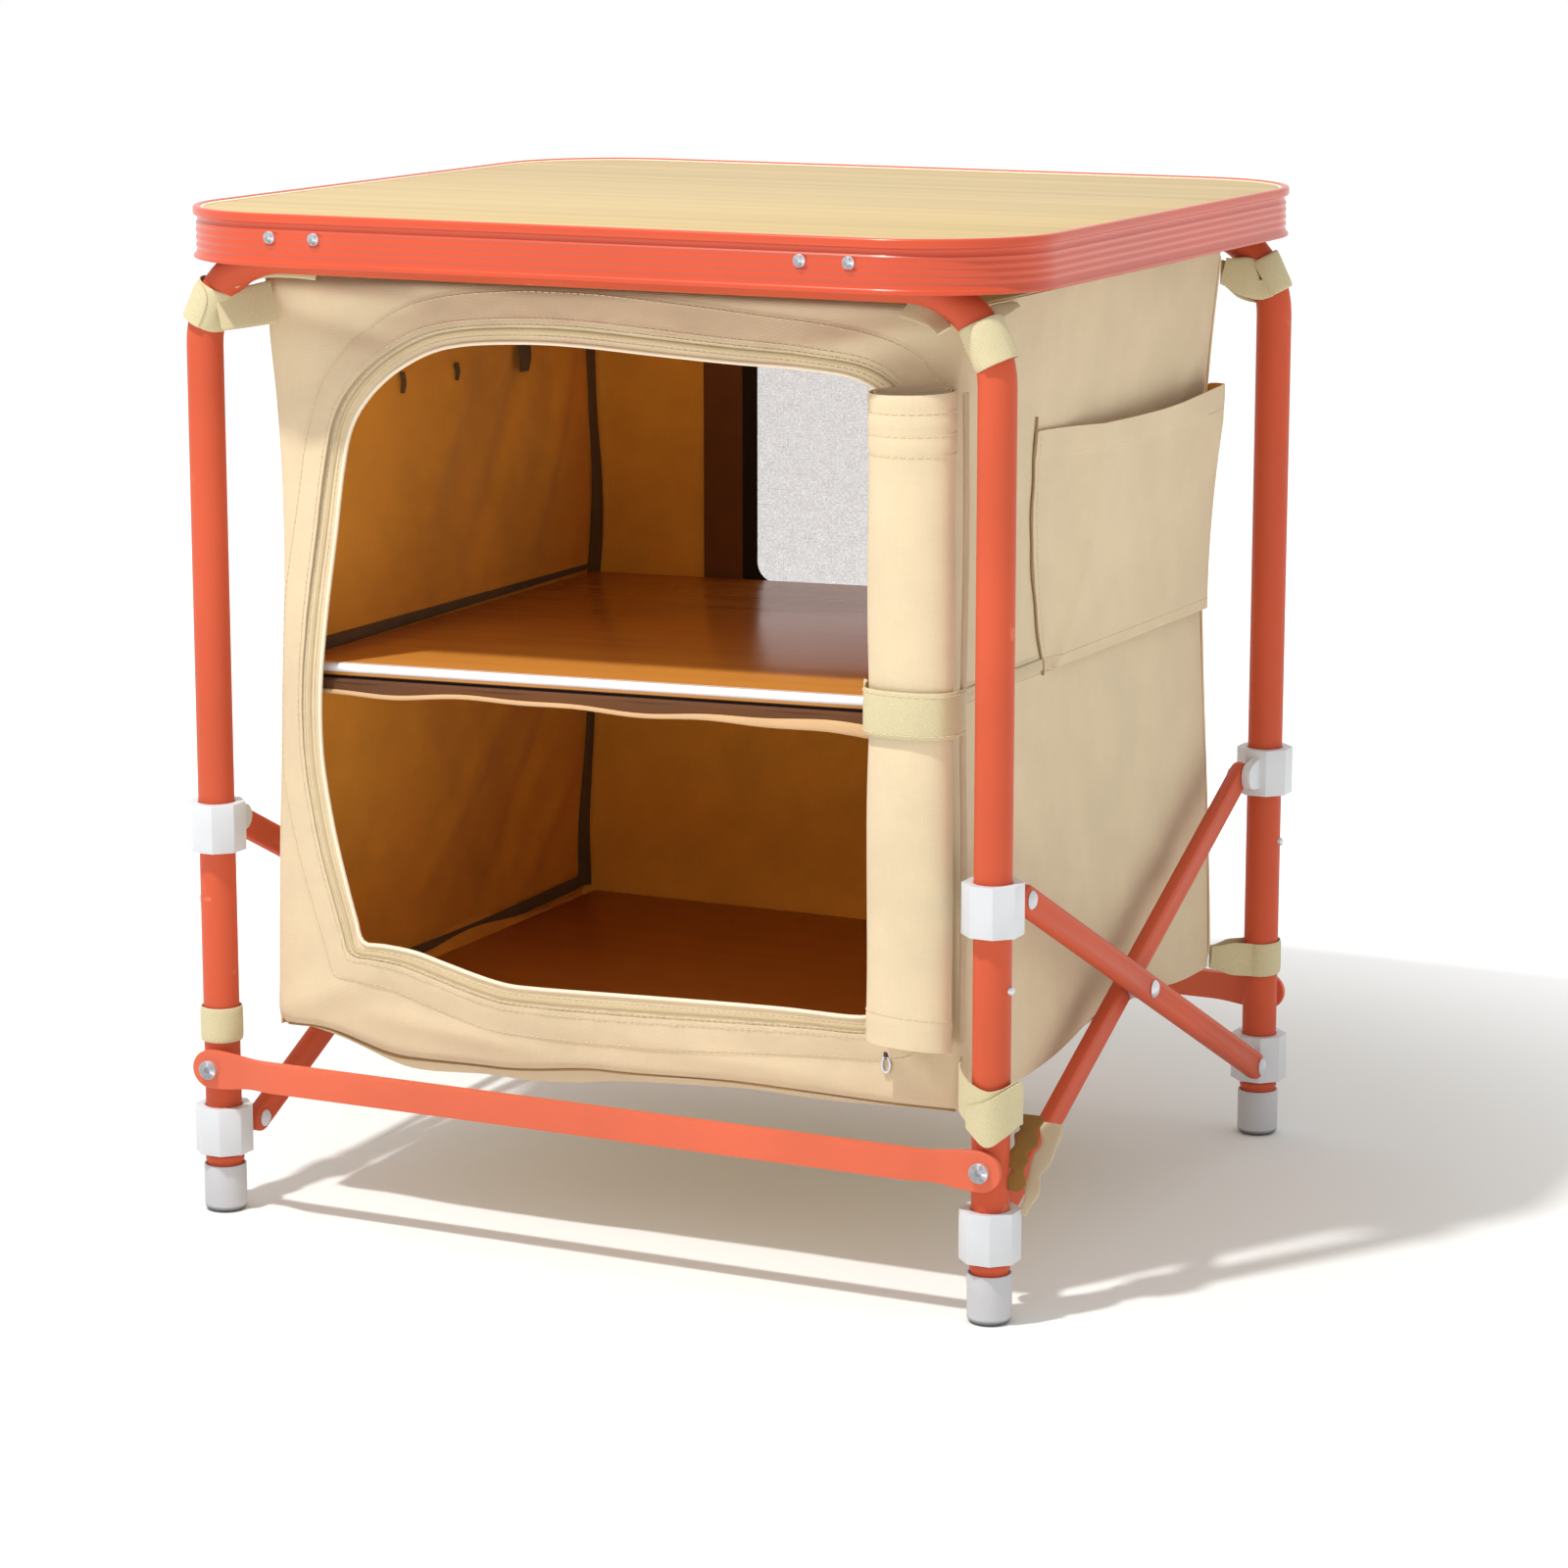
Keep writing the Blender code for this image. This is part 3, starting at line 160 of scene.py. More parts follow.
class Signal:
    """A shader socket that takes Python's arithmetic: each sign adds its Math node."""

    def __init__(self, finish, socket):
        self.finish = finish
        self.socket = socket

    def reckon(self, operation, *terms):
        made = self.finish.node("ShaderNodeMath", {"operation": operation}, dict(enumerate(terms)))
        return made["Value"]

    def __add__(self, other):
        return self.reckon("ADD", self, other)

    def __radd__(self, other):
        return self.reckon("ADD", other, self)

    def __sub__(self, other):
        return self.reckon("SUBTRACT", self, other)

    def __rsub__(self, other):
        return self.reckon("SUBTRACT", other, self)

    def __mul__(self, other):
        return self.reckon("MULTIPLY", self, other)

    def wave(self):
        """Sine of the signal, moved into 0 to 1."""
        return self.reckon("SINE", self) * 0.5 + 0.5

    def bulge(self):
        """Height of the sine of the signal, whichever way it goes."""
        swing = self.reckon("SINE", self)
        return swing.reckon("ABSOLUTE", swing)

    def between(self, low, high):
        """0 below low, 1 above high, and smooth in between."""
        made = self.finish.node(
            "ShaderNodeMapRange",
            {"interpolation_type": "SMOOTHSTEP"},
            {"Value": self, "From Min": low, "From Max": high},
        )
        return made["Result"]


class Outlets:
    """A node's outputs, by name or number, as signals."""

    def __init__(self, finish, node):
        self.finish = finish
        self.node = node

    def __getitem__(self, name):
        return Signal(self.finish, self.node.outputs[name])


class Finish:
    """A material whose nodes end in one Principled shader."""

    def __init__(self, name):
        self.material = bpy.data.materials.new(name)
        self.material.use_nodes = True
        self.tree = self.material.node_tree
        self.tree.nodes.clear()
        self.shader = self.tree.nodes.new("ShaderNodeBsdfPrincipled")
        output = self.tree.nodes.new("ShaderNodeOutputMaterial")
        self.tree.links.new(self.shader.outputs["BSDF"], output.inputs["Surface"])

    def node(self, kind, settings=None, sockets=None):
        made = self.tree.nodes.new(kind)
        for name, value in (settings or {}).items():
            setattr(made, name, value)
        for name, value in (sockets or {}).items():
            self.feed(made.inputs[name], value)
        return Outlets(self, made)

    def feed(self, socket, value):
        if isinstance(value, Signal):
            self.tree.links.new(value.socket, socket)
        else:
            socket.default_value = value

    def end_in(self, **values):
        """Feeds the shader: words joined by _ name its sockets."""
        for name, value in values.items():
            self.feed(self.shader.inputs[name.replace("_", " ")], value)
        return self.material

    def place(self, source="Object", stretch=(1, 1, 1)):
        """Where a point lies on the piece, stretched along its three directions."""
        where = self.node("ShaderNodeTexCoord")[source]
        return self.node("ShaderNodeMapping", {}, {"Vector": where, "Scale": stretch})["Vector"]

    def parts(self, where):
        made = self.node("ShaderNodeSeparateXYZ", {}, {"Vector": where})
        return made["X"], made["Y"], made["Z"]

    def distance(self):
        """How far a point lies from the piece's origin."""
        here = self.node("ShaderNodeTexCoord")["Object"]
        return self.node("ShaderNodeVectorMath", {"operation": "LENGTH"}, {0: here})["Value"]

    def speckle(self, where, scale, detail=2.0):
        made = self.node(
            "ShaderNodeTexNoise", {}, {"Vector": where, "Scale": scale, "Detail": detail}
        )
        return made["Fac"]

    def blend(self, share, first, second):
        """A colour between two colours."""
        return self.node("ShaderNodeMix", {"data_type": "RGBA"}, {0: share, 6: first, 7: second})[2]

    def tint(self, share, shade, dark, pale):
        """A shade between its darker and its paler form."""
        return self.blend(share, colour(shade, dark), colour(shade, pale))

    def relief(self, height, depth, strength=1.0):
        sockets = {"Height": height, "Distance": depth, "Strength": strength}
        return self.node("ShaderNodeBump", {}, sockets)["Normal"]


def woven(name, shade, pitch=0.0007, lift=0.00012, spread=0.07, rough=0.86):
    """Plain-woven cloth: warp and weft from the piece's own measure, slubs, and slow fading."""
    finish = Finish(name)
    across, along, _ = finish.parts(finish.place("UV"))
    turn = math.pi / pitch
    weave = (across * turn).bulge() * (along * turn).bulge()
    slub_warp = finish.speckle(finish.place("UV", (1300, 70, 1)), 1.0, 1.0)
    slub_weft = finish.speckle(finish.place("UV", (70, 1300, 1)), 1.0, 1.0)
    slow = finish.speckle(finish.place("Object"), 7.0, 3.0)
    dusty = finish.speckle(finish.place("Object"), 38.0, 4.0)
    tone = (slub_warp + slub_weft) * 0.1 + slow * 0.64 + dusty * 0.27 + weave * 0.1
    base = finish.tint(tone.between(0.36, 0.80), shade, 1 - 1.6 * spread, 1 + spread)
    normal = finish.relief(weave + (slub_warp + slub_weft) * 0.2 + dusty * 0.6, lift, 0.7)
    return finish.end_in(
        Base_Color=base,
        Roughness=rough + weave * 0.06,
        Normal=normal,
        Specular_IOR_Level=0.25,
        Sheen_Weight=0.12,
        Sheen_Roughness=0.5,
    )


def enamelled(name, shade, rough, coat, brushed=(1, 1, 1), shine=0.14):
    """Baked enamel over tube or sheet: slight orange peel, slow changes of tone, and thin scuffs."""
    finish = Finish(name)
    here = finish.place("Object")
    peel = finish.speckle(here, 420.0, 2.0)
    slow = finish.speckle(here, 9.0, 3.0)
    scratch = finish.speckle(finish.place("Object", brushed), 60.0, 3.0)
    scuff = scratch.between(0.66, 0.72) * slow.between(0.5, 0.66)
    base = finish.tint(slow.between(0.3, 0.75), shade, 0.93, 1.05)
    base = finish.blend(scuff * 0.35, base, colour((238, 160, 128)))
    return finish.end_in(
        Base_Color=base,
        Roughness=rough + slow * 0.1 + scuff * 0.2,
        Normal=finish.relief(peel + scratch * 0.3, 0.00003, 0.35),
        Coat_Weight=coat,
        Coat_Roughness=0.25,
        Specular_IOR_Level=shine,
    )


def laminate(name, shade, grain=(1.4, 70, 40), fine=(9, 700, 300), rough=0.42, contrast=0.16):
    """Printed bamboo board: long grain along X with fine fibres and the odd darker strip."""
    finish = Finish(name)
    long_grain = finish.speckle(finish.place("Object", grain), 1.0, 5.0)
    fibres = finish.speckle(finish.place("Object", fine), 1.0, 2.0)
    strips = finish.speckle(finish.place("Object", (0.4, 26, 8)), 1.0, 1.0)
    tone = long_grain * 0.55 + fibres * 0.3 + strips * 0.3
    base = finish.tint(tone.between(0.35, 0.8), shade, 1 - contrast, 1 + contrast * 0.7)
    return finish.end_in(
        Base_Color=base,
        Roughness=rough + fibres * 0.12,
        Normal=finish.relief(fibres + long_grain * 0.4, 0.00005, 0.4),
        Specular_IOR_Level=0.5,
    )


def moulded(name, shade, rough, grit=500.0, ground_shade=(120, 118, 112), ground_shade_top=0.0):
    """Moulded plastic or rubber: fine grit, faint clouding, and painted shade that darkens it towards
    the ground.
    """
    finish = Finish(name)
    here = finish.place("Object")
    grain = finish.speckle(here, grit, 2.0)
    cloud = finish.speckle(here, 24.0, 3.0)
    base = finish.tint(cloud.between(0.3, 0.7), shade, 0.94, 1.03)
    # Painted shade: darker towards the bottom, where the part meets the ground
    if ground_shade_top:
        height = finish.parts(here)[2]
        ground_shade_share = (1 - (height + cloud * 0.001).between(ground_shade_top * 0.4, ground_shade_top)) * 0.85
        base = finish.blend(ground_shade_share, base, colour(ground_shade))
    return finish.end_in(
        Base_Color=base,
        Roughness=rough + grain * 0.1,
        Normal=finish.relief(grain, 0.00004, 0.4),
        Specular_IOR_Level=0.5,
    )


def bright_metal(name, shade, rough, drawn=(3, 300, 300), metal=0.25):
    """Bare metal with drawing lines and slight clouding."""
    finish = Finish(name)
    lines = finish.speckle(finish.place("Object", drawn), 1.0, 2.0)
    cloud = finish.speckle(finish.place("Object"), 40.0, 2.0)
    base = finish.tint(cloud, shade, 0.9, 1.04)
    return finish.end_in(
        Base_Color=base,
        Metallic=metal,
        Roughness=rough + lines * 0.12,
        Normal=finish.relief(lines, 0.00002, 0.3),
    )


def strap_web(name, shade, lines=(900, 900, 1500)):
    """Woven webbing: fine ribs across it and faint clouding."""
    finish = Finish(name)
    ribs = finish.speckle(finish.place("Object", lines), 1.0, 2.0)
    x, y, z = finish.parts(finish.place("Object"))
    rib = (z * 4200.0 + x * 1800.0 + y * 1800.0).wave()
    cloud = finish.speckle(finish.place("Object"), 30.0, 3.0)
    tone = ribs * 0.5 + rib * 0.2 + cloud * 0.3
    base = finish.tint(tone.between(0.3, 0.75), shade, 0.84, 1.04)
    return finish.end_in(
        Base_Color=base,
        Roughness=0.8 + ribs * 0.1,
        Normal=finish.relief(ribs + rib * 0.8, 0.00012, 0.6),
        Specular_IOR_Level=0.3,
        Sheen_Weight=0.1,
    )


def mesh_screen(name, shade):
    """Insect screen, so fine that it reads as a speckled grey film with light through it."""
    finish = Finish(name)
    across, along, _ = finish.parts(finish.place("UV"))
    holes = (across * 3900.0).wave() * (along * 3900.0).wave()
    speckle = finish.speckle(finish.place("UV", (700, 700, 1)), 1.0, 3.0)
    coarse = finish.speckle(finish.place("UV", (150, 150, 1)), 1.0, 2.0)
    cover = 0.55 - holes * 0.1 + (speckle - 0.5) * 0.7 + (coarse - 0.5) * 0.2
    base = finish.tint(speckle, shade, 0.8, 1.0)
    return finish.end_in(
        Base_Color=base,
        Alpha=cover.between(0.0, 1.0) * 0.6 + 0.14,
        Roughness=0.7 + speckle * 0.1,
        Normal=finish.relief(holes, 0.0001, 0.4),
    )


coral = enamelled("coral_enamel", CORAL, 0.42, 0.0)
coral_bar_lit = enamelled("coral_bar_painted_light", BAR_CORAL_LIT, 0.42, 0.0, (4, 90, 90), 0.2)
coral_rim = enamelled("coral_rim_enamel", RIM_CORAL, 0.3, 0.55, (4, 90, 90), 0.25)
canvas = woven("canvas", CANVAS)
# The lining's orange is partly the cloth's inner colour and partly painted glow of light through the
# canvas
lining_with_glow = woven("lining_painted_glow", LINING_PAINTED_GLOW, spread=0.12, rough=0.7)
edging = woven("edging_tape", EDGING, 0.0007, 0.00006, 0.03)
binding = woven("dark_binding", BINDING, 0.0007, 0.0001, 0.15)
window_tape = woven("window_tape", WINDOW_TAPE, 0.0007, 0.0001, 0.15)
window_black = woven("window_black", WINDOW_BLACK, 0.0007, 0.0001, 0.15)
sling_painted_shade = woven("sling_painted_shade", SLING_SHADE_BROWN, 0.0008, 0.0001, 0.12)
sling_tape = woven("sling_tape", SLING_HEM, 0.0007, 0.00006, 0.05)
zip_coil = strap_web("zip_coil", COIL, (1800, 1800, 1800))
webbing = strap_web("cream_webbing", WEBBING)
thread = strap_web("sewing_thread", THREAD, (3000, 3000, 3000))
screen = mesh_screen("window_screen", SCREEN)
bamboo = laminate("bamboo_panel", BAMBOO)
board = laminate("shelf_laminate", BOARD, (1.2, 60, 30), (8, 500, 200), 0.16, 0.1)
floor_laminate_painted_shade = laminate("floor_laminate_painted_shade", FLOOR_BOARD_SHADED, (1.2, 60, 30), (8, 500, 200), 0.3, 0.12)
rail_shade = moulded("rail_shade", RAIL_SHADE, 0.6)
seam_shade_cloth = woven("seam_shade_cloth", SEAM_SHADE)
strap_back_painted_shade = woven("strap_back_painted_shade", STRAP_BACK_SHADE)
slider_metal = moulded("slider_metal", SLIDER, 0.4)
collar_plastic = moulded("collar_plastic", COLLAR, 0.32)
foot_plastic = moulded("foot_plastic", FOOT, 0.5, 400.0, (72, 72, 74), 0.0045)
aluminium = bright_metal("rail_aluminium", ALUMINIUM, 0.42)
steel = bright_metal("bright_steel", STEEL, 0.28, (200, 200, 200), 0.7)


def only(piece=None):
    """Leaves one object selected, or none."""
    active = bpy.context.view_layer.objects.active
    if active and active.mode != "OBJECT":
        bpy.ops.object.mode_set(mode="OBJECT")
    bpy.ops.object.select_all(action="DESELECT")
    if piece:
        piece.select_set(True)
        bpy.context.view_layer.objects.active = piece


def modify(piece, kind, **settings):
    """Adds one modifier and applies it."""
    only(piece)
    made = piece.modifiers.new(kind.title(), kind)
    for name, value in settings.items():
        setattr(made, name, value)
    bpy.ops.object.modifier_apply(modifier=made.name)


def bevelled(piece, width, segments, angle, **more):
    """Eases the edges that are sharper than angle."""
    modify(piece, "BEVEL", width=width, segments=segments, limit_method="ANGLE",
           angle_limit=math.radians(angle), **more)


def smooth(piece, angle):
    only(piece)
    bpy.ops.object.shade_smooth_by_angle(angle=math.radians(angle))


def dress(piece, name, body, slot, finish, *replaced):
    """Names a finished piece, gives it its finish, and sets it on its body."""
    piece.name = name
    piece.data.name = name
    if not piece.data.materials:
        piece.data.materials.append(finish)
    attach(piece, body)
    if replaced:
        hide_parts(*replaced)
    return piece


def whole(piece, *steps):
    """Works on all of a mesh in edit mode: each step is an operator with its settings."""
    only(piece)
    bpy.ops.object.mode_set(mode="EDIT")
    for step, settings in steps:
        bpy.ops.mesh.select_all(action="SELECT")
        step(**settings)
    bpy.ops.object.mode_set(mode="OBJECT")


def welded_copy(node):
    """A copy of a CAD node with its loose triangles joined into whole faces."""
    piece = bpy.data.objects.new(node + "_whole", frame["nodes"][node].data.copy())
    piece.data.materials.clear()
    bpy.context.collection.objects.link(piece)
    whole(
        piece,
        (bpy.ops.mesh.remove_doubles, {"threshold": 0.000002}),
        (bpy.ops.mesh.dissolve_limited, {"angle_limit": math.radians(0.8)}),
    )
    return piece


def eased(node, edge, slot, finish, cut=0.0):
    """A CAD node with its sharp edges eased, in its own finish; cut is how far out it may reach."""
    piece = welded_copy(node)
    if cut:
        plane = {"plane_co": (0, cut, 0), "plane_no": (0, math.copysign(1, cut), 0)}
        whole(piece, (bpy.ops.mesh.bisect, {**plane, "use_fill": True, "clear_outer": True}))
    bevelled(piece, edge, 2, 40, use_clamp_overlap=True)
    smooth(piece, 40)
    body = body_of(frame["nodes"][node])[0]
    return dress(piece, node + "_made", body, slot, finish, node)


def shaped_grid(columns, rows, place, facing=None, welded=False, measure=None):
    """A grid whose points place(u, v) puts where they lie; measure(u, v) gives its cloth measure."""
    only()
    bpy.ops.mesh.primitive_grid_add(x_subdivisions=columns, y_subdivisions=rows, size=2)
    piece = bpy.context.object
    mesh = piece.data
    spots = np.empty(len(mesh.vertices) * 3)
    mesh.vertices.foreach_get("co", spots)
    shares = (spots.reshape(-1, 3)[:, :2] + 1) / 2
    placed = np.array([tuple(place(float(u), float(v))) for u, v in shares])
    layer = mesh.uv_layers.active.data
    if measure:
        for loop in mesh.loops:
            u, v = shares[loop.vertex_index]
            layer[loop.index].uv = measure(float(u), float(v))
    mesh.vertices.foreach_set("co", placed.ravel())
    mesh.update()
    if welded:
        whole(piece, (bpy.ops.mesh.remove_doubles, {"threshold": 0.000001}))
    if facing:
        towards = Vector(facing)
        leaning = sum(face.normal.dot(towards) * face.area for face in mesh.polygons)
        if leaning < 0:
            mesh.flip_normals()
    return piece


def measured(wide, high):
    """The cloth measure of a grid that lies wide by high when flat."""
    return lambda u, v: (u * wide, v * high)


FACE_OUT = (bpy.ops.mesh.normals_make_consistent, {"inside": False})


def close_and_face_out(piece):
    """Caps open ends and turns every face outwards."""
    whole(piece, (bpy.ops.mesh.fill_holes, {"sides": 0}), FACE_OUT)


def edit_faces(piece, wanted):
    """Goes into edit mode with the faces selected for which wanted(face) holds."""
    only(piece)
    bpy.ops.object.mode_set(mode="EDIT")
    bpy.ops.mesh.select_mode(type="FACE")
    bpy.ops.mesh.select_all(action="DESELECT")
    bpy.ops.object.mode_set(mode="OBJECT")
    for face in piece.data.polygons:
        face.select = wanted(face)
    bpy.ops.object.mode_set(mode="EDIT")


def settled(piece):
    """Puts a piece's place and size into its mesh, so that its origin is the frame's."""
    only(piece)
    bpy.ops.object.transform_apply(location=True, rotation=True, scale=True)


def cylinder(sides, radius, depth, middle=(0, 0, 0)):
    only()
    bpy.ops.mesh.primitive_cylinder_add(
        vertices=sides, radius=radius, depth=depth, location=middle
    )
    piece = bpy.context.object
    settled(piece)
    return piece


def give_wall(piece, wall=CLOTH, outside=canvas, inside=lining_with_glow, levels=1):
    """Turns a sheet into cloth: finer, with a wall and its own inner face."""
    piece.data.materials.append(outside)
    piece.data.materials.append(inside)
    if levels:
        modify(piece, "SUBSURF", levels=levels, render_levels=levels)
    modify(
        piece, "SOLIDIFY", thickness=wall, offset=-1.0, material_offset=1, use_rim=True,
        material_offset_rim=0,
    )
    smooth(piece, 60)


def thickened(piece, thickness, offset=-1):
    modify(piece, "SOLIDIFY", thickness=thickness, offset=offset)
    smooth(piece, 50)
    return piece


def trim(piece, name, finish, *replaced):
    """Dresses a piece of the bag, which stays with the front frame."""
    return dress(piece, name, "front_frame", "canvas", finish, *replaced)


def walled(piece, node, **wall):
    """A sheet as the cloth that stands for a CAD node, and the area that it had as a sheet."""
    area = sum(face.area for face in piece.data.polygons)
    give_wall(piece, **wall)
    return trim(piece, node + "_cloth", canvas, node), area


def smoothstep(share):
    share = min(1.0, max(0.0, share))
    return share * share * (3 - 2 * share)


def ridge(point, start, end, width, height):
    """How far a fold that runs from start to end lifts the cloth at point."""
    start, end, point = Vector(start), Vector(end), Vector(point)
    run = end - start
    share = (point - start).dot(run) / run.length_squared
    away = (point - start - run * min(1.0, max(0.0, share))).length
    fade = math.sin(math.pi * min(1.0, max(0.0, 0.12 + 0.76 * share)))
    return height * fade * math.exp(-((away / width) ** 2))


def rumple(a, b, seed, size=9.0, depth=0.0012):
    """Slow, shallow unevenness of hung cloth."""
    return depth * (noise.noise(Vector((a * size, b * size, seed)))
                    + 0.4 * noise.noise(Vector((a * size * 2.7, b * size * 2.7, seed + 5))))


def half_width(height):
    """The bag's half width, drawn in at its waist."""
    share = min(1.0, max(0.0, (height - BAG_LOW) / (BAG_HIGH - BAG_LOW)))
    return BAG_SIDE - BAG_WAIST * math.sin(math.pi * share ** 1.6)


def bag_foot(x):
    """Height of the bag's lower front edge, which hangs between its corners."""
    for (x0, z0), (x1, z1) in zip(FRONT_SEAM, FRONT_SEAM[1:]):
        if x <= x1:
            return z0 + (z1 - z0) * smoothstep((x - x0) / (x1 - x0))
    return FRONT_SEAM[-1][1]


def smooth_run(before, here, after, beyond, count):
    """Points of a smooth line that goes on from here towards after."""
    return [0.5 * (2 * here + (after - before) * t
                   + (2 * before - 5 * here + 4 * after - beyond) * t * t
                   + (3 * here - before - 3 * after + beyond) * t ** 3)
            for t in (step / count for step in range(count))]


def around(points, count):
    """Evenly spaced points on a smooth closed line through the given ones."""
    points = [Vector(p) for p in points]
    total = len(points)
    fine = []
    for index in range(total):
        fine += smooth_run(*(points[(index + step) % total] for step in (-1, 0, 1, 2)), 24)
    return spaced(fine + [fine[0]], count)


def spaced(line, count):
    """Evenly spaced points along a line, without its last one."""
    steps = [0.0]
    for first, second in zip(line, line[1:]):
        steps.append(steps[-1] + (second - first).length)
    found, at = [], 0
    for index in range(count):
        wanted = steps[-1] * index / count
        while at < len(steps) - 2 and steps[at + 1] < wanted:
            at += 1
        gap = max(steps[at + 1] - steps[at], 1e-9)
        found.append(line[at].lerp(line[at + 1], (wanted - steps[at]) / gap))
    return found


class Opening:
    """A panel with a hole: points are found by how far round the hole and how far out from it."""

    def __init__(self, hole, middle, inside, side, height_of, count=288):
        self.edge = around(hole, count)
        self.count = count
        middle = Vector(middle)
        self.rim = []
        for point in self.edge:
            ray = (point - middle).normalized()
            low, high = 0.0, 0.5
            for _ in range(40):
                reach = (low + high) / 2
                if inside(*(middle + ray * reach)):
                    low = reach
                else:
                    high = reach
            self.rim.append(middle + ray * low)
        self.side = side
        self.height_of = height_of

    def at(self, line, share):
        place = (share % 1.0) * self.count
        low = int(place)
        return line[low % self.count].lerp(line[(low + 1) % self.count], place - low)

    def flat(self, share, out):
        """Point in the panel's plane, out metres from the hole's edge."""
        edge, rim = self.at(self.edge, share), self.at(self.rim, share)
        span = (rim - edge).length
        return edge + (rim - edge) * (out / span), span

    def point(self, share, out, lift=0.0):
        """Point on the cloth, lift metres above its face."""
        spot, span = self.flat(share, out)
        rise = self.height_of(spot.x, spot.y, out, span - out) + lift
        return Vector((spot.x, self.side * (BAG_FACE + rise), spot.y))


def inside_panel(x, z, corner=0.005):
    """True inside the front panel's outline, whose corners are slightly round."""
    side, low = half_width(z), bag_foot(x)
    if abs(x) > side or not low < z < BAG_HIGH:
        return False
    dx = abs(x) - (side - corner)
    dz = max(low + corner - z, z - (BAG_HIGH - corner))
    return dx <= 0 or dz <= 0 or dx * dx + dz * dz <= corner * corner


FRONT_FOLDS = (
    ((-0.206, 0.516), (-0.115, 0.512), 0.007, 0.0045),
    ((-0.204, 0.505), (-0.125, 0.490), 0.006, -0.0030),
    ((-0.203, 0.495), (-0.182, 0.420), 0.006, 0.0018),
    ((0.205, 0.514), (0.120, 0.500), 0.008, 0.0035),
    ((0.203, 0.500), (0.165, 0.492), 0.006, -0.0025),
    ((-0.209, 0.112), (-0.140, 0.140), 0.009, 0.0025),
    ((-0.150, 0.118), (-0.040, 0.108), 0.006, 0.0020),
    ((0.020, 0.120), (0.150, 0.112), 0.007, 0.0018),
    ((0.206, 0.112), (0.170, 0.140), 0.007, 0.0022),
)


def rolled_off(rise, left):
    """The rise of cloth that rounds back, left metres before its panel's outline."""
    if left < CORNER_ROLL:
        rise -= CORNER_ROLL * (1 - math.sqrt(max(0.0, 1 - (1 - left / CORNER_ROLL) ** 2)))
    return max(rise, -CORNER_ROLL)


def front_rise(x, z, out, left):
    """How far the front cloth stands proud of its plane."""
    rise = 0.0016 * math.sin(math.pi * min(1.0, (out + 0.004) / 0.034))
    rise += rumple(x, z, 1.0) + sum(ridge((x, z), *fold) for fold in FRONT_FOLDS)
    near_seam = math.exp(-(((out - 0.014) / 0.009) ** 2))
    rise += 0.0006 * near_seam * noise.noise(Vector((x * 130, z * 130, 2.0)))
    return rolled_off(rise, left)


front = Opening(DOOR_EDGE, DOOR_MIDDLE, inside_panel, -1, front_rise)


def rounded_box_line(half_x, half_z, corner, middle, step=5):
    """Points round a rectangle with rounded corners."""
    points = []
    for turn, (sx, sz) in enumerate(((1, 1), (-1, 1), (-1, -1), (1, -1))):
        for index in range(step):
            angle = math.radians(90 * turn + 90 * index / (step - 1))
            points.append((middle[0] + sx * (half_x - corner) + corner * math.cos(angle),
                           middle[1] + sz * (half_z - corner) + corner * math.sin(angle)))
    return points


def inside_back(x, z):
    """True inside the back panel's outline."""
    return abs(x) <= half_width(z) and BAG_LOW < z < BAG_HIGH


def back_rise(x, z, out, left):
    """How far the back cloth stands proud of its plane."""
    rise = rumple(x, z, 11.0, 7.0, 0.0016)
    rise += ridge((x, z), (-0.15, 0.48), (-0.10, 0.20), 0.012, 0.002)
    rise += ridge((x, z), (0.16, 0.47), (0.12, 0.22), 0.012, 0.002)
    return rolled_off(rise, left)


window_edge = [Vector(p) for p in rounded_box_line(*WINDOW_HALF, WINDOW_CORNER, WINDOW_MIDDLE)]
window_edge = spaced([*window_edge, window_edge[0]], 120)
back = Opening(window_edge, WINDOW_MIDDLE, inside_back, 1, back_rise)


STEPS = (0.0, 0.0015, 0.003, 0.006, 0.009, 0.012, 0.015, 0.018)
OUTER_ROWS = 12


def ring_panel(opening, node):
    """The cloth between a hole's edge and the panel's outline, and its area."""
    near = len(STEPS) - 1

    def out_at(share, v):
        span = opening.flat(share, 0.0)[1]
        place = v * (near + OUTER_ROWS)
        if place <= near:
            low = min(int(place), near - 1)
            here = STEPS[low] + (STEPS[low + 1] - STEPS[low]) * (place - low)
            return min(here, span * 0.8)
        start = min(STEPS[-1], span * 0.8)
        return start + (span - start) * (place - near) / OUTER_ROWS

    def place(u, v):
        return opening.point(u, out_at(u, v))

    def measure(u, v):
        return opening.flat(u, out_at(u, v))[0]

    made = shaped_grid(
        opening.count, near + OUTER_ROWS, place, (0, opening.side, 0), True, measure
    )
    return walled(made, node)


bag_front, front_area = ring_panel(front, "bag_front")
bag_back, back_area = ring_panel(back, "bag_back")

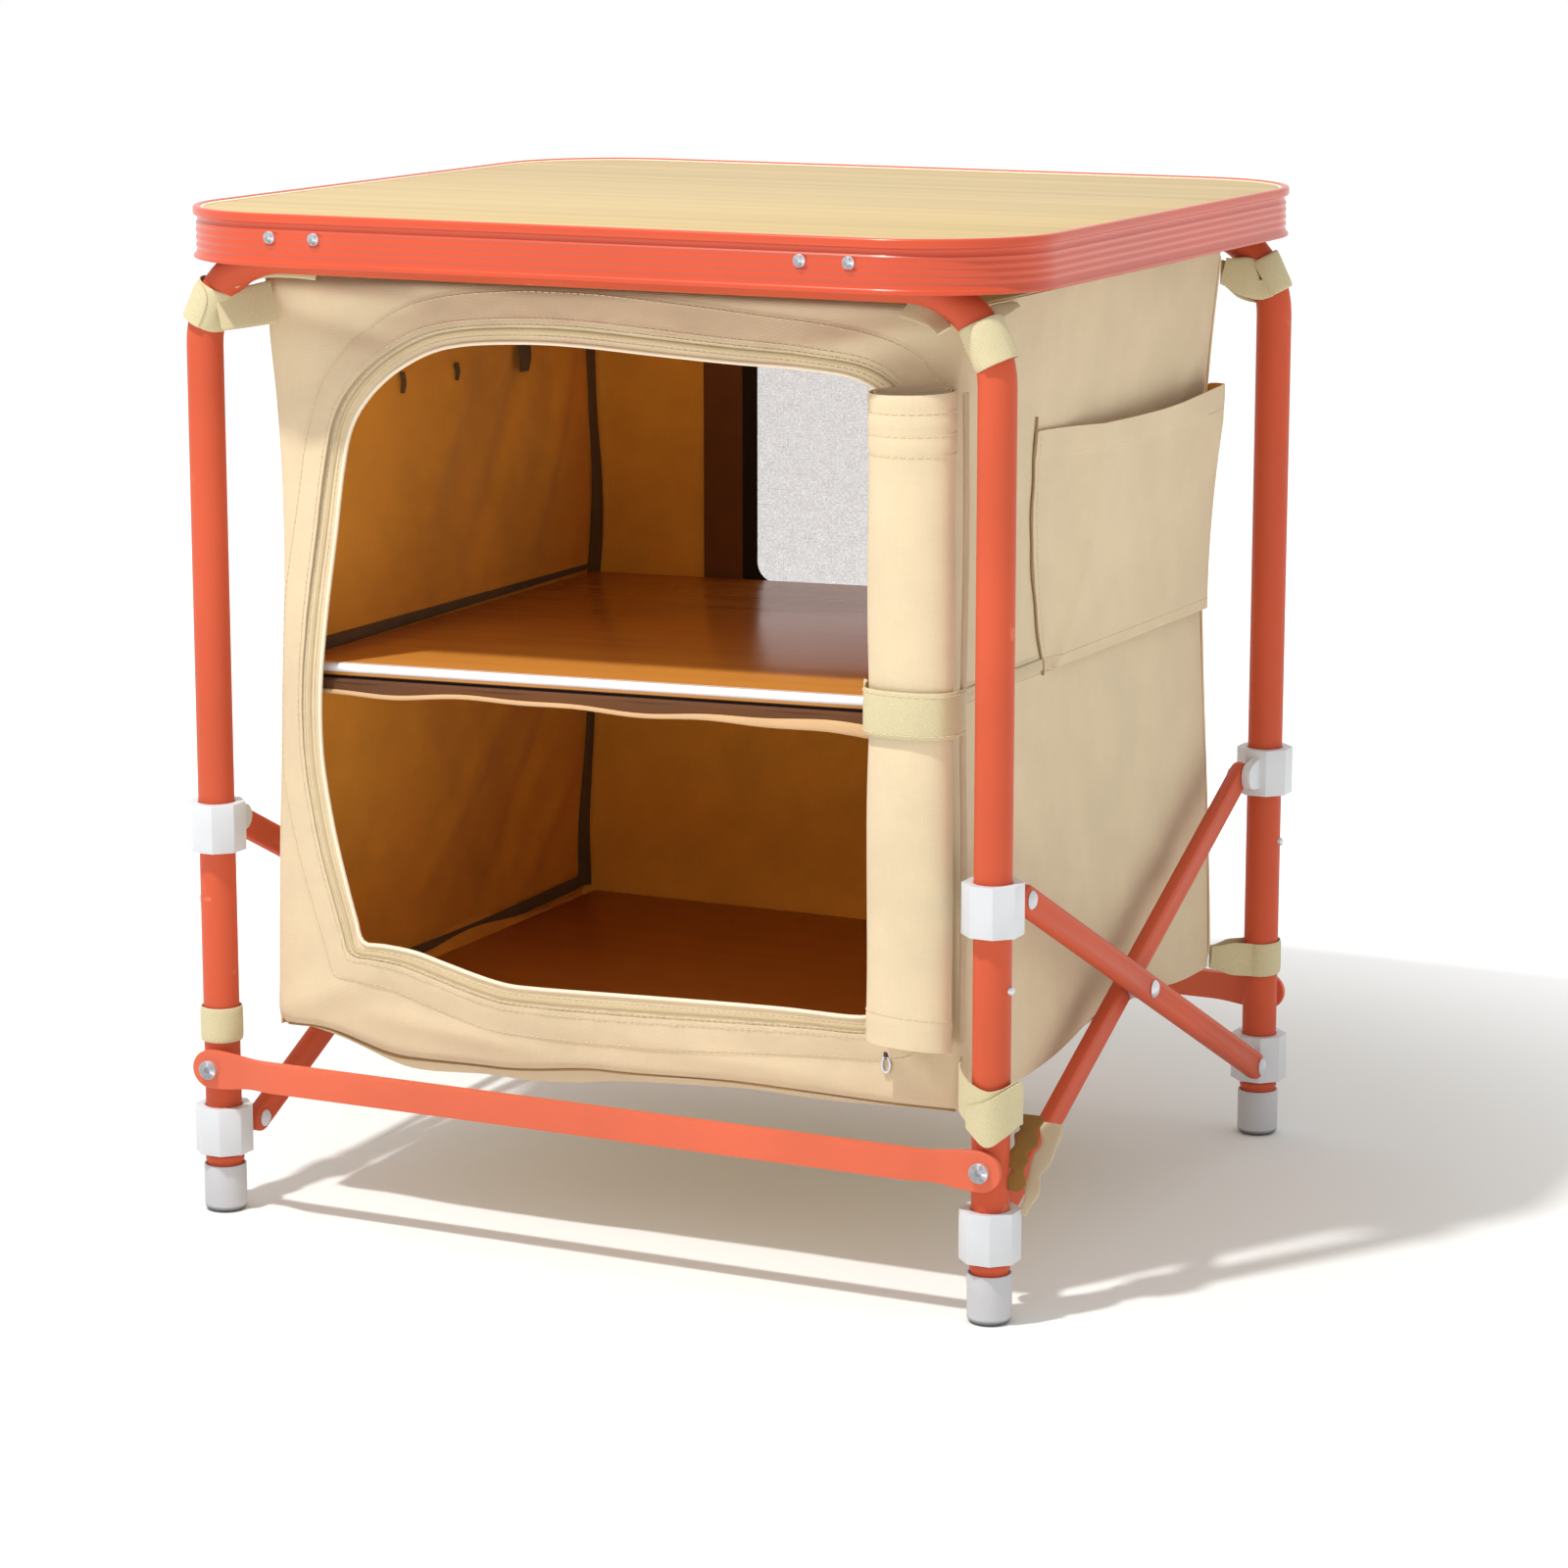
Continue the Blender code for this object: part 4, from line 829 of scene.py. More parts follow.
SIDE_FOLDS = (
    ((-0.165, 0.515), (-0.10, 0.43), 0.012, 0.0022),
    ((-0.170, 0.500), (-0.155, 0.34), 0.009, -0.0018),
    ((0.165, 0.515), (0.120, 0.42), 0.012, 0.0022),
    ((-0.165, 0.120), (-0.06, 0.20), 0.014, 0.0020),
    ((0.140, 0.130), (0.05, 0.24), 0.014, 0.0020),
    ((-0.05, 0.30), (0.02, 0.16), 0.012, -0.0014),
)
LEFT_FOLDS = (
    ((0.130, 0.500), (0.030, 0.340), 0.010, 0.0036),
    ((0.060, 0.500), (-0.030, 0.360), 0.012, -0.0030),
    ((0.165, 0.470), (0.100, 0.330), 0.008, -0.0028),
    ((0.165, 0.280), (0.060, 0.130), 0.010, 0.0034),
    ((0.120, 0.290), (-0.020, 0.150), 0.012, -0.0030),
    ((0.170, 0.200), (0.100, 0.120), 0.008, -0.0026),
)
SIDE_SEAM_Z = 0.3215
SIDE_END = 0.1800
SIDE_TURN = 0.1715
BAG_DEPTH = 0.1765


def side_foot(y):
    """Height of a side's lower edge, which rises a little behind its middle."""
    return BAG_LOW + 0.014 * math.sin(math.pi * smoothstep((y + 0.13) / 0.32)) ** 2


def side_x(side, y, z):
    """Where a side cloth hangs."""
    out = rumple(y, z, 21.0 + side, 7.0, 0.0015)
    folds = SIDE_FOLDS if side > 0 else SIDE_FOLDS + LEFT_FOLDS
    out += sum(ridge((y, z), *fold) for fold in folds)
    end = min(1.0, (SIDE_END - abs(y)) / 0.03)
    foot = min(1.0, (z - side_foot(y)) / 0.02, (BAG_HIGH - z) / 0.02)
    out *= smoothstep(end) * smoothstep(foot)
    out += 0.0007 * math.exp(-(((z - SIDE_SEAM_Z) / 0.0028) ** 2))
    out -= 0.0030 * (max(0.0, abs(y) - SIDE_TURN) / (SIDE_END - SIDE_TURN)) ** 2
    return side * (half_width(z) + out)


def side_cloth(side, node):
    def flat(u, v):
        y = (2 * u - 1) * SIDE_END
        low = side_foot(y)
        return y, low + (BAG_HIGH - 0.001 - low) * v

    def place(u, v):
        y, z = flat(u, v)
        return side_x(side, y, z), y, z

    return walled(shaped_grid(70, 96, place, (side, 0, 0), measure=flat), node)


bag_left, left_area = side_cloth(-1, "bag_left")
bag_right, right_area = side_cloth(1, "bag_right")


def bottom_place(u, v):
    x, y = (2 * u - 1), (2 * v - 1)
    hang = BOTTOM_SAG * (1 - x * x) * (1 - 0.55 * y * y)
    height = BAG_LOW + 0.0006 - hang + rumple(x * 0.2, y * 0.18, 31.0, 9.0, 0.0006)
    turned_up = max(0.0, (abs(x) - 0.955) / 0.045) ** 1.4
    height += (side_foot(y * BAG_DEPTH) - BAG_LOW) * turned_up
    ahead = smoothstep((-0.80 - y) / 0.20)
    height += (bag_foot(x * BAG_SIDE) + 0.0004 - height) * ahead * (1 - turned_up)
    belly = math.exp(-(((y * BAG_DEPTH + 0.165) / 0.0075) ** 2)) * (1 - abs(x) ** 5)
    depth = 0.0135 - 0.0050 * smoothstep((x + 0.3) / 0.6)
    height -= depth * belly * (0.9 + 0.3 * noise.noise(Vector((x * 4, 0, 8.0))))
    return x * (BAG_SIDE - 0.0006), y * BAG_DEPTH, height


piece = shaped_grid(60, 80, bottom_place, (0, 0, -1), measure=measured(0.42, 0.36))
bag_bottom = walled(piece, "bag_bottom")[0]


def roof_place(u, v):
    x, y = (2 * u - 1), (2 * v - 1)
    hang = 0.004 * (1 - x * x) * (1 - y * y)
    return x * (BAG_SIDE - 0.001), y * BAG_DEPTH, BAG_HIGH - hang + rumple(x, y, 41.0, 2.0, 0.0006)


piece = shaped_grid(50, 40, roof_place, (0, 0, 1), measure=measured(0.42, 0.36))
bag_top = walled(piece, "bag_top")[0]

# Rolled door: one cloth wound a little over twice, hemmed at both ends
ROLL_X = 0.185
ROLL_Y = -0.1979
ROLL_HALF = (0.0246, 0.0136)
ROLL_LOW = 0.141
ROLL_HIGH = 0.481
ROLL_TURNS = 2.2
ROLL_STRAP_Z = 0.3172


def roll_swell(z):
    """Ridges of the hems, and the waist that the strap draws in."""
    swell = 0.0011 * sum(math.exp(-(((z - at) / 0.0026) ** 2)) for at in (0.4770, 0.466, 0.4545))
    swell += 0.0004 * math.exp(-(((z - 0.1545) / 0.0022) ** 2))
    swell -= 0.0011 * math.exp(-(((z - ROLL_STRAP_Z) / 0.03) ** 2))
    return swell


def roll_place(u, v):
    z = ROLL_LOW + (ROLL_HIGH - ROLL_LOW) * v
    angle = 2 * math.pi * ROLL_TURNS * u
    inward = 0.0021 * ROLL_TURNS * (1 - u)
    grow = roll_swell(z) * smoothstep((u - 0.5) * 4)
    grow += 0.0007 * noise.noise(Vector((u * 5, z * 16, 3.0)))
    a, b = ROLL_HALF[0] - inward + grow, ROLL_HALF[1] - inward * 0.8 + grow
    start = math.radians(20)
    tip = 0.0016 * math.sin(angle + 1.0) * (2 * v - 1)
    return ROLL_X + a * math.cos(start + angle), ROLL_Y + b * math.sin(start + angle), z + tip


piece = shaped_grid(150, 100, roll_place, measure=measured(0.27, 0.34))
outward = sum(
    face.normal.dot(Vector((face.center.x - ROLL_X, face.center.y - ROLL_Y, 0)))
    for face in piece.data.polygons
)
if outward < 0:
    piece.data.flip_normals()
door_roll = walled(piece, "door_roll", inside=canvas, levels=0)[0]


def through(points, count):
    """Evenly spaced points on a smooth open line through the given ones, both ends included."""
    points = [Vector(p) for p in points]
    points = [2 * points[0] - points[1], *points, 2 * points[-1] - points[-2]]
    fine = []
    for four in zip(points, points[1:], points[2:], points[3:]):
        fine += smooth_run(*four, 16)
    fine.append(points[-2])
    return [*spaced(fine, count - 1), fine[-1]]


def swept(path, wide_way, half_wide, half_thick, sides=12, square=0.55, closed=False):
    """A strip or cord along a path.

    The way across it and its half sizes are fixed, or functions of the share of the path.
    """
    count = len(path)
    wide_way, half_wide, half_thick = (
        given if callable(given) else (lambda share, fixed=given: fixed)
        for given in (wide_way, half_wide, half_thick)
    )

    def place(u, v):
        index = min(int(round(u * (count if closed else count - 1))), count)
        here = path[index % count]
        after = path[(index + 1) % count] if closed else path[min(index + 1, count - 1)]
        before = path[index - 1] if closed or index else path[0]
        along = (after - before).normalized()
        wide = Vector(wide_way(u))
        wide = (wide - along * wide.dot(along)).normalized()
        turn = 2 * math.pi * v
        cosine, sine = math.cos(turn), math.sin(turn)
        across = math.copysign(abs(cosine) ** square, cosine) * half_wide(u)
        return here + wide * across + along.cross(wide) * sine * half_thick(u)

    piece = shaped_grid(count if closed else count - 1, sides, place, welded=True)
    if closed:
        whole(piece, FACE_OUT)
    else:
        close_and_face_out(piece)
    smooth(piece, 50)
    return piece


def joined(pieces):
    """Several meshes made one piece."""
    only(pieces[0])
    for piece in pieces[1:]:
        piece.select_set(True)
    bpy.ops.object.join()
    return pieces[0]


THREAD_RADIUS = 0.00026
STITCH = 0.0038


def sewn(spots):
    """A row of stitches, each a copy of one, from the first of two spots to the second.

    A spot is a point and the way up from the cloth.
    """
    stitch = cylinder(6, THREAD_RADIUS, 0.9)
    edit_faces(stitch, lambda face: abs(face.normal.z) > 0.9)
    bpy.ops.mesh.extrude_region_move(TRANSFORM_OT_translate={"value": (0, 0, 0)})
    bpy.ops.mesh.inset(thickness=THREAD_RADIUS * 0.45)
    bpy.ops.object.mode_set(mode="OBJECT")
    for vertex in stitch.data.vertices:
        if vertex.co.xy.length < THREAD_RADIUS * 0.9:
            vertex.co.z *= 1.1
    smooth(stitch, 60)
    copies = []
    for (here, up), (after, _) in zip(spots[::2], spots[1::2]):
        run = after - here
        along = run.normalized()
        side = along.cross(up).normalized()
        turned = Matrix((side, side.cross(along) * -1, run)).transposed().to_4x4()
        turned.translation = (here + after) / 2
        mesh = stitch.data.copy()
        mesh.transform(turned)
        copies.append(bpy.data.objects.new("stitch", mesh))
        bpy.context.collection.objects.link(copies[-1])
    bpy.data.objects.remove(stitch)
    return joined(copies)


def row_on(surface, length, lift=0.0001):
    """Spots for a row of stitches along surface(share), which gives a point and the way up there."""
    count = max(2, int(length / STITCH))
    shares = [(index + part) / count for index in range(count) for part in (0.1, 0.84)]
    return [(point + up * lift, up) for point, up in map(surface, shares)]


def door_row(out):
    """A row of stitches round the door's hole, out metres from its edge."""
    up = Vector((0, -1, 0))
    return row_on(lambda share: (front.point(share, out, 0.0002), up), DOOR_LENGTH)


CORNERS = [
    (end, way, side, across)
    for end, way in (("front", -1), ("rear", 1)) for side, across in (("left", -1), ("right", 1))
]

# Bent frames: a disc drawn up each leg, round the bends and across, with a ring at each end
RING_RADIUS = 0.0108
RING_HIGH = 0.0036
RING_Z = 0.0301


def bent_frame(node, y, body):
    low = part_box(node)[0]
    only()
    bpy.ops.mesh.primitive_circle_add(
        vertices=40, radius=TUBE_RADIUS, fill_type="NGON", location=(-LEG_X, y, low.z)
    )
    tube = bpy.context.object
    rise = TOP_BAR_Z - BEND_RADIUS - low.z
    bpy.ops.object.mode_set(mode="EDIT")
    bpy.ops.mesh.select_all(action="SELECT")
    across = 2 * (LEG_X - BEND_RADIUS)
    for run, bend_x in (((0, 0, rise), BEND_RADIUS - LEG_X), ((across, 0, 0), LEG_X - BEND_RADIUS)):
        bpy.ops.mesh.extrude_region_move(TRANSFORM_OT_translate={"value": run})
        bpy.ops.mesh.spin(
            steps=14, angle=-math.pi / 2, axis=(0, 1, 0), center=(bend_x, y, TOP_BAR_Z - BEND_RADIUS)
        )
    bpy.ops.mesh.extrude_region_move(TRANSFORM_OT_translate={"value": (0, 0, -rise)})
    whole(tube, (bpy.ops.mesh.remove_doubles, {"threshold": 0.00001}), FACE_OUT)
    settled(tube)
    smooth(tube, 45)
    rings = [tube]
    for x in (-LEG_X, LEG_X):
        rings.append(cylinder(40, RING_RADIUS, RING_HIGH, (x, y, RING_Z)))
        bevelled(rings[-1], 0.0008, 3, 50)
        smooth(rings[-1], 45)
    return dress(joined(rings), node + "_made", body, "coral_paint", coral, node)


bent_frame("front_frame_tube", -LEG_Y, "front_frame")
bent_frame("rear_frame_tube", LEG_Y, "rear_frame")


FOOT_ROUND = 0.0034


def foot(node, x, y, body):
    """A cap with a rolled lip, rounded under and hollow where the leg stands in it."""
    low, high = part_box(node)
    middle = (x, y, (high.z + FOOT_ROUND) / 2)
    cap = cylinder(40, (high.x - low.x) / 2, high.z - FOOT_ROUND, middle)
    edit_faces(cap, lambda face: face.normal.z < -0.9)
    turns = [math.radians(18 * step) for step in range(6)]
    for before, after in zip(turns, turns[1:]):
        bpy.ops.mesh.inset(
            thickness=FOOT_ROUND * (math.cos(before) - math.cos(after)),
            depth=FOOT_ROUND * (math.sin(after) - math.sin(before)),
        )
    bpy.ops.object.mode_set(mode="OBJECT")
    edit_faces(cap, lambda face: face.normal.z > 0.9)
    bpy.ops.mesh.inset(thickness=0.0014)
    bpy.ops.mesh.extrude_region_move(TRANSFORM_OT_translate={"value": (0, 0, -0.004)})
    bpy.ops.object.mode_set(mode="OBJECT")
    bevelled(cap, 0.0005, 3, 60)
    smooth(cap, 40)
    return dress(cap, node + "_made", body, "foot_plastic", foot_plastic, node)


for end, way, side, across in CORNERS:
    foot(f"foot_{end}_{side}", across * LEG_X, way * LEG_Y, end + "_frame")

# Flat bar between the legs, squeezed thin at its ends where it is riveted on
BAR_Z = 0.0832
BAR_HALF = (0.0081, 0.0108)
BAR_THICK = (0.0080, 0.0034)
BAR_INNER_Y = 0.2103


def bar_half_height(x):
    gap = abs(x) - LEG_X
    if gap > -0.002:
        return math.sqrt(max(0.0, BAR_HALF[1] ** 2 - max(0.0, gap) ** 2))
    neck = smoothstep((abs(x) - 0.200) / 0.030)
    return BAR_HALF[0] + (BAR_HALF[1] - BAR_HALF[0]) * neck


def cross_bar(node, way, body):
    reach = LEG_X + BAR_HALF[1]

    def place(u, v):
        swing = (2 * u - 1)
        x = reach * math.copysign(1 - (1 - abs(swing)) ** 1.6, swing)
        high = max(bar_half_height(x), 0.0002)
        thick = BAR_THICK[0] + (BAR_THICK[1] - BAR_THICK[0]) * smoothstep((abs(x) - 0.190) / 0.024)
        turn = 2 * math.pi * (v + 0.125)
        cosine, sine = math.cos(turn), math.sin(turn)
        up = math.copysign(min(1.0, abs(cosine) * 1.36) ** 0.8, cosine) * high
        out = math.copysign(min(1.0, abs(sine) * 1.36) ** 0.8, sine) * thick / 2
        return x, way * (BAR_INNER_Y + thick / 2 + out), BAR_Z + up

    piece = shaped_grid(160, 32, place, welded=True)
    close_and_face_out(piece)
    smooth(piece, 35)
    return dress(piece, node + "_made", body, "coral_paint", coral_bar_lit, node)


cross_bar("front_cross_bar", -1, "front_frame")
cross_bar("rear_cross_bar", 1, "rear_frame")

# Solids that keep their shape, with eased edges; the clips are cut off behind the rim's own rivets
SADDLE_CUT = 0.2328
for side in ("left", "right"):
    for part in ("brace_outer", "brace_inner"):
        eased(f"{part}_{side}", 0.0007, "coral_paint", coral)
    eased(f"centre_pivot_{side}", 0.0003, "bright_steel", steel)
for end, way, side, across in CORNERS:
    eased(f"snap_button_{end}_{side}", 0.0003, "bright_steel", steel)
    eased(f"saddle_{end}_{side}", 0.0003, "bright_steel", steel, way * SADDLE_CUT)
    for level in ("upper", "lower"):
        eased(f"{level}_collar_{end}_{side}", 0.0006, "collar_plastic", collar_plastic)
eased("floor_board", 0.0006, "board", floor_laminate_painted_shade)
board_made = eased("shelf_board", 0.0006, "board", board)


def pin_head(centre, way, radius, height, recess, body, name, *replaced):
    """A domed head with a small recess, facing the front or, with way 1, the back."""
    head = cylinder(28, radius, height, (0, 0, height / 2))
    for step in (radius * (1 - recess), 0.0001):
        edit_faces(head, lambda face: face.normal.z > 0.95)
        bpy.ops.mesh.inset(thickness=step)
    bpy.ops.object.mode_set(mode="OBJECT")
    for face in head.data.polygons:
        face.select = face.normal.z > 0.95 and face.center.xy.length < 0.0001
    bpy.ops.object.mode_set(mode="EDIT")
    bpy.ops.mesh.extrude_region_move(TRANSFORM_OT_translate={"value": (0, 0, -height * 0.3)})
    bpy.ops.object.mode_set(mode="OBJECT")
    bevelled(head, min(height, radius) * 0.38, 4, 60, use_clamp_overlap=True)
    smooth(head, 45)
    turned = Vector((0, way, 0)).to_track_quat("Z", "Y").to_matrix().to_4x4()
    turned.translation = Vector(centre)
    head.data.transform(turned)
    return dress(head, name, body, "bright_steel", steel, *replaced)


BAR_RIVET_Y = 0.2072
RIM_RIVET_X = {"left": -0.1560, "right": 0.1532}
RIM_RIVET_Y = 0.2331
RIM_RIVET_Z = 0.5474
RIM_RIVET_GAP = 0.0135
for end, way, side, across in CORNERS:
    node = f"{end}_bar_rivet_{side}"
    place = (across * LEG_X, way * BAR_RIVET_Y, BAR_Z)
    pin_head(place, way, 0.0053, 0.0094, 0.35, end + "_frame", node + "_made", node)
    for number, spread in ((1, -1), (2, 1)):
        place = (RIM_RIVET_X[side] + spread * RIM_RIVET_GAP, way * RIM_RIVET_Y, RIM_RIVET_Z)
        name = f"rim_rivet_{end}_{side}_{number}"
        pin_head(place, way, 0.0033, 0.0018, 0.3, "table_top", name)

# The shelf lies a little higher at its right end than at its left
SHELF_LEAN = 0.021
SHELF_RAISE = 0.0008
SHELF_MIDDLE = Vector((0, 0, 0.3105))
board_made.data.transform(
    Matrix.Translation(SHELF_MIDDLE + Vector((0, 0, SHELF_RAISE)))
    @ Matrix.Rotation(-SHELF_LEAN, 4, "Y") @ Matrix.Translation(-SHELF_MIDDLE)
)


def shelf_lift(x):
    return SHELF_RAISE + SHELF_LEAN * x


# Shelf rail: a bright rounded nose over a dark recess
RAIL_HALF = 0.198


def rail_line(y, z):
    spots = [RAIL_HALF * (index / 30 - 1) for index in range(61)]
    return [Vector((x, y, z + shelf_lift(x))) for x in spots]


nose = swept(rail_line(-0.1724, 0.3113), (0, 1, 0), 0.0029, 0.0028, 20, 0.85)
nose.data.materials.append(aluminium)
recess = swept(rail_line(-0.1703, 0.3072), (0, 0, 1), 0.0018, 0.0018, 12, 0.6)
recess.data.materials.append(rail_shade)
dress(joined([nose, recess]), "shelf_front_rail_made", "shelf_rail", "pale_aluminium",
      aluminium, "shelf_front_rail")

# Rim: a ribbed strip bent round the panel
RIM_SIDE = (0.250, 0.235)
RIM_CORNER = 0.074
RIB_LOW, RIB_HIGH, RIBS = 0.5350, 0.5508, 4
RIM_FACE = 0.0014
rim_outer = [
    (RIM_FACE + 0.0005 * math.sin(math.pi * RIBS * share) ** 2, RIB_LOW + (RIB_HIGH - RIB_LOW) * share)
    for share in (index / (RIBS * 8) for index in range(RIBS * 8 + 1))
]
RIM_PROFILE = [
    (0.0120, 0.5482), (0.0030, 0.5482), (0.0028, 0.5474), (0.0028, 0.5328), (0.0024, 0.5321),
    (0.0016, 0.5320), (0.0006, 0.5320), (0.0001, 0.5323), (0.0000, 0.5330), (0.0002, 0.5338),
    (0.0009, 0.5343), *rim_outer, (0.0018, 0.5513), (0.0022, 0.5518),
    (0.0023, 0.5526), (0.0023, 0.5538), (0.0020, 0.5545), (0.0008, 0.5549), (0.0001, 0.5554),
    (0.0000, 0.5562), (0.0000, 0.5588), (0.0003, 0.5595), (0.0009, 0.5599), (0.0016, 0.5600),
    (0.0026, 0.5600), (0.0036, 0.5597), (0.0042, 0.5592), (0.0043, 0.5588), (0.0038, 0.5586),
    (0.0031, 0.5586), (0.0028, 0.5580), (0.0028, 0.5508), (0.0032, 0.5502), (0.0120, 0.5502),
]


def rim_outline(share, inset):
    """Point of the rounded outline at share of the way round, inset metres inside the rim's face."""
    corner, place = divmod((share % 1.0) * 4, 1)
    turn = math.radians(90 * (corner + min(1.0, place / 0.8)))
    radius = RIM_CORNER - inset
    sx = 1 if corner in (0, 3) else -1
    sy = 1 if corner in (0, 1) else -1
    here = Vector((sx * (RIM_SIDE[0] - RIM_CORNER) + radius * math.cos(turn),
                   sy * (RIM_SIDE[1] - RIM_CORNER) + radius * math.sin(turn)))
    if place <= 0.8:
        return here
    return here.lerp(rim_outline((corner + 1) / 4 + 1e-9, inset), (place - 0.8) / 0.2)


def rim_place(u, v):
    inset, z = RIM_PROFILE[int(round(v * len(RIM_PROFILE))) % len(RIM_PROFILE)]
    spot = rim_outline(u, inset)
    return spot.x, spot.y, z


piece = shaped_grid(4 * 30, len(RIM_PROFILE), rim_place, welded=True)
whole(piece, FACE_OUT)
smooth(piece, 38)
dress(piece, "top_rim_made", "table_top", "table_rim", coral_rim, "top_rim")


def rounded_slab(half_x, half_y, corner, low, high, edge):
    """A board with rounded corners and eased edges."""
    only()
    bpy.ops.mesh.primitive_plane_add(size=2, location=(0, 0, low))
    slab = bpy.context.object
    slab.scale = (half_x, half_y, 1)
    settled(slab)
    modify(slab, "BEVEL", affect="VERTICES", width=corner, segments=24, limit_method="NONE")
    rise = {"TRANSFORM_OT_translate": {"value": (0, 0, high - low)}}
    whole(slab, (bpy.ops.mesh.extrude_region_move, rise), FACE_OUT)
    bevelled(slab, edge, 2, 50)
    smooth(slab, 40)
    return slab


PANEL_INSET = 0.0031
panel = rounded_slab(
    RIM_SIDE[0] - PANEL_INSET, RIM_SIDE[1] - PANEL_INSET, RIM_CORNER - PANEL_INSET,
    0.5505, 0.5585, 0.0004,
)
dress(panel, "top_panel_made", "table_top", "table_panel", bamboo, "top_panel")

edge_line = [rim_outline(index / 240, 0.0048) for index in range(240)]
edge_line = [Vector((spot.x, spot.y, 0.5587)) for spot in edge_line]
piece = swept(edge_line, (0, 0, 1), 0.0006, 0.0009, 8, 1.0, True)
dress(piece, "panel_edge_line", "table_top", "table_panel", edging)

# Window: the screen, its black edge and the brown tape round it
net_half = (WINDOW_HALF[0] + 0.008, WINDOW_HALF[1] + 0.008)


def net_place(u, v):
    x, z = (2 * u - 1) * net_half[0], (2 * v - 1) * net_half[1]
    slack = 0.0003 * math.sin(math.pi * u) * math.sin(math.pi * v)
    return x, 0.1802 - slack, WINDOW_MIDDLE[1] + z


net_measure = measured(2 * net_half[0], 2 * net_half[1])
piece = shaped_grid(40, 40, net_place, (0, -1, 0), measure=net_measure)
window_net = dress(piece, "window_screen", "front_frame", "screen", screen, "window_net")


def window_band(inner, outer, y, name, finish):
    """A flat tape round the window, from inner to outer metres out from its edge."""
    middle = Vector(WINDOW_MIDDLE)

    def place(u, v):
        spot = back.at(back.edge, u)
        way = spot - middle
        way = Vector((way.x / WINDOW_HALF[0], way.y / WINDOW_HALF[1])).normalized()
        out = inner + (outer - inner) * v
        here = spot + way / max(abs(way.x), abs(way.y)) * out * 0.86
        return here.x, y - 0.0005 * math.sin(math.pi * v) ** 0.5, here.y

    made = shaped_grid(200, 8, place, (0, -1, 0), True, measured(0.76, 0.03))
    return trim(thickened(made, 0.0005), name, finish)


black_edge = window_band(-0.008, 0.0042, 0.1792, "window_black_edge", window_black)
brown_tape = window_band(0.0036, 0.034, 0.1790, "window_brown_tape", window_tape)

# Door edge, zip, its cover strip and their stitching
DOOR_LENGTH = 1.33
FLAP_OUT = 0.0115
FLAP_WIDE = 0.0185
line = [front.point(index / 360, 0.0004, 0.0004) for index in range(360)]
trim(swept(line, (0, 1, 0), 0.0013, 0.0011, 10, 0.9, True), "door_edge_tape", edging)

line = [front.point(index / 480, 0.0072, 0.0002) for index in range(480)]
trim(swept(line, (0, 1, 0), 0.0007, 0.0012, 8, 0.9, True), "door_zip_coil", zip_coil)


def flap_place(u, v):
    out = FLAP_OUT + FLAP_WIDE * v
    wave = 0.5 + 0.5 * noise.noise(Vector((math.cos(2 * math.pi * u) * 4,
                                           math.sin(2 * math.pi * u) * 4, 7.0)))
    upper = smoothstep((front.flat(u, 0)[0].y - 0.30) / 0.15)
    lift = 0.0002 + 0.0026 * (1 - v) ** 1.6 * (0.22 + 0.78 * upper) * (0.5 + wave)
    span = front.flat(u, 0)[1]
    return front.point(u, min(out, span - 0.003), lift + 0.0006 * (1 - v))


piece = shaped_grid(288, 12, flap_place, (0, -1, 0), True, measured(DOOR_LENGTH, FLAP_WIDE))
give_wall(piece, 0.0008, inside=canvas)
door_flap = trim(piece, "door_zip_cover", canvas)

trim(sewn([*door_row(0.0042), *door_row(0.0100)]), "door_stitches", thread)


def flap_row(v):
    up = Vector((0, -1, 0))
    return row_on(lambda share: (Vector(flap_place(share, v)), up), DOOR_LENGTH, 0.0003)


trim(sewn([*flap_row(0.12), *flap_row(0.88)]), "door_cover_stitches", thread)

# Seam along the front cloth's foot, as a cord darkened as painted shade of the crease there
front_foot = [Vector((x, -0.1776, bag_foot(x) + 0.0004))
              for x in (0.203 * (index / 60 - 1) for index in range(121))]
piece = swept(front_foot, (0, 0, 1),
              lambda share: 0.0007 + 0.0005 * noise.noise(Vector((share * 9, 0, 4.0))), 0.0012, 8, 0.9)
trim(piece, "front_foot_seam", seam_shade_cloth)

# Zip pull: a dark tag with a bright drop at its end
pull_low, pull_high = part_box("zip_pull")
pull_top = Vector(((pull_low.x + pull_high.x) / 2, (pull_low.y + pull_high.y) / 2, pull_high.z))
drop_middle = pull_top + Vector((0, 0, pull_low.z + 0.0051 - pull_high.z))
tag_line = [pull_top - Vector((0, 0, 0.0095 * index / 11)) for index in range(12)]
tag = swept(tag_line, (1, 0, 0), lambda share: 0.0019 - 0.0006 * share, 0.0009, 10, 0.5)
tag.data.materials.append(slider_metal)
turns = [2 * math.pi * index / 40 for index in range(40)]
drop_line = [drop_middle + Vector((0.0023 * math.sin(turn), 0, -0.0042 * math.cos(turn)))
             for turn in turns]
drop = swept(drop_line, (0, 1, 0), 0.0009, 0.0008, 10, 1.0, True)
drop.data.materials.append(steel)
dress(joined([tag, drop]), "zip_pull_made", "zip_tag", "bright_steel", steel, "zip_pull")

# Side pocket
POCKET_Y = (-0.0800, 0.172)
POCKET_Z = (0.318, 0.448)


def pocket_front_y(z):
    """The pocket's front seam, which runs back a little at its foot."""
    share = (z - POCKET_Z[0]) / (POCKET_Z[1] - POCKET_Z[0])
    return POCKET_Y[0] + 0.016 * (1 - share) ** 2.2 + 0.003 * max(0.0, share - 0.6)


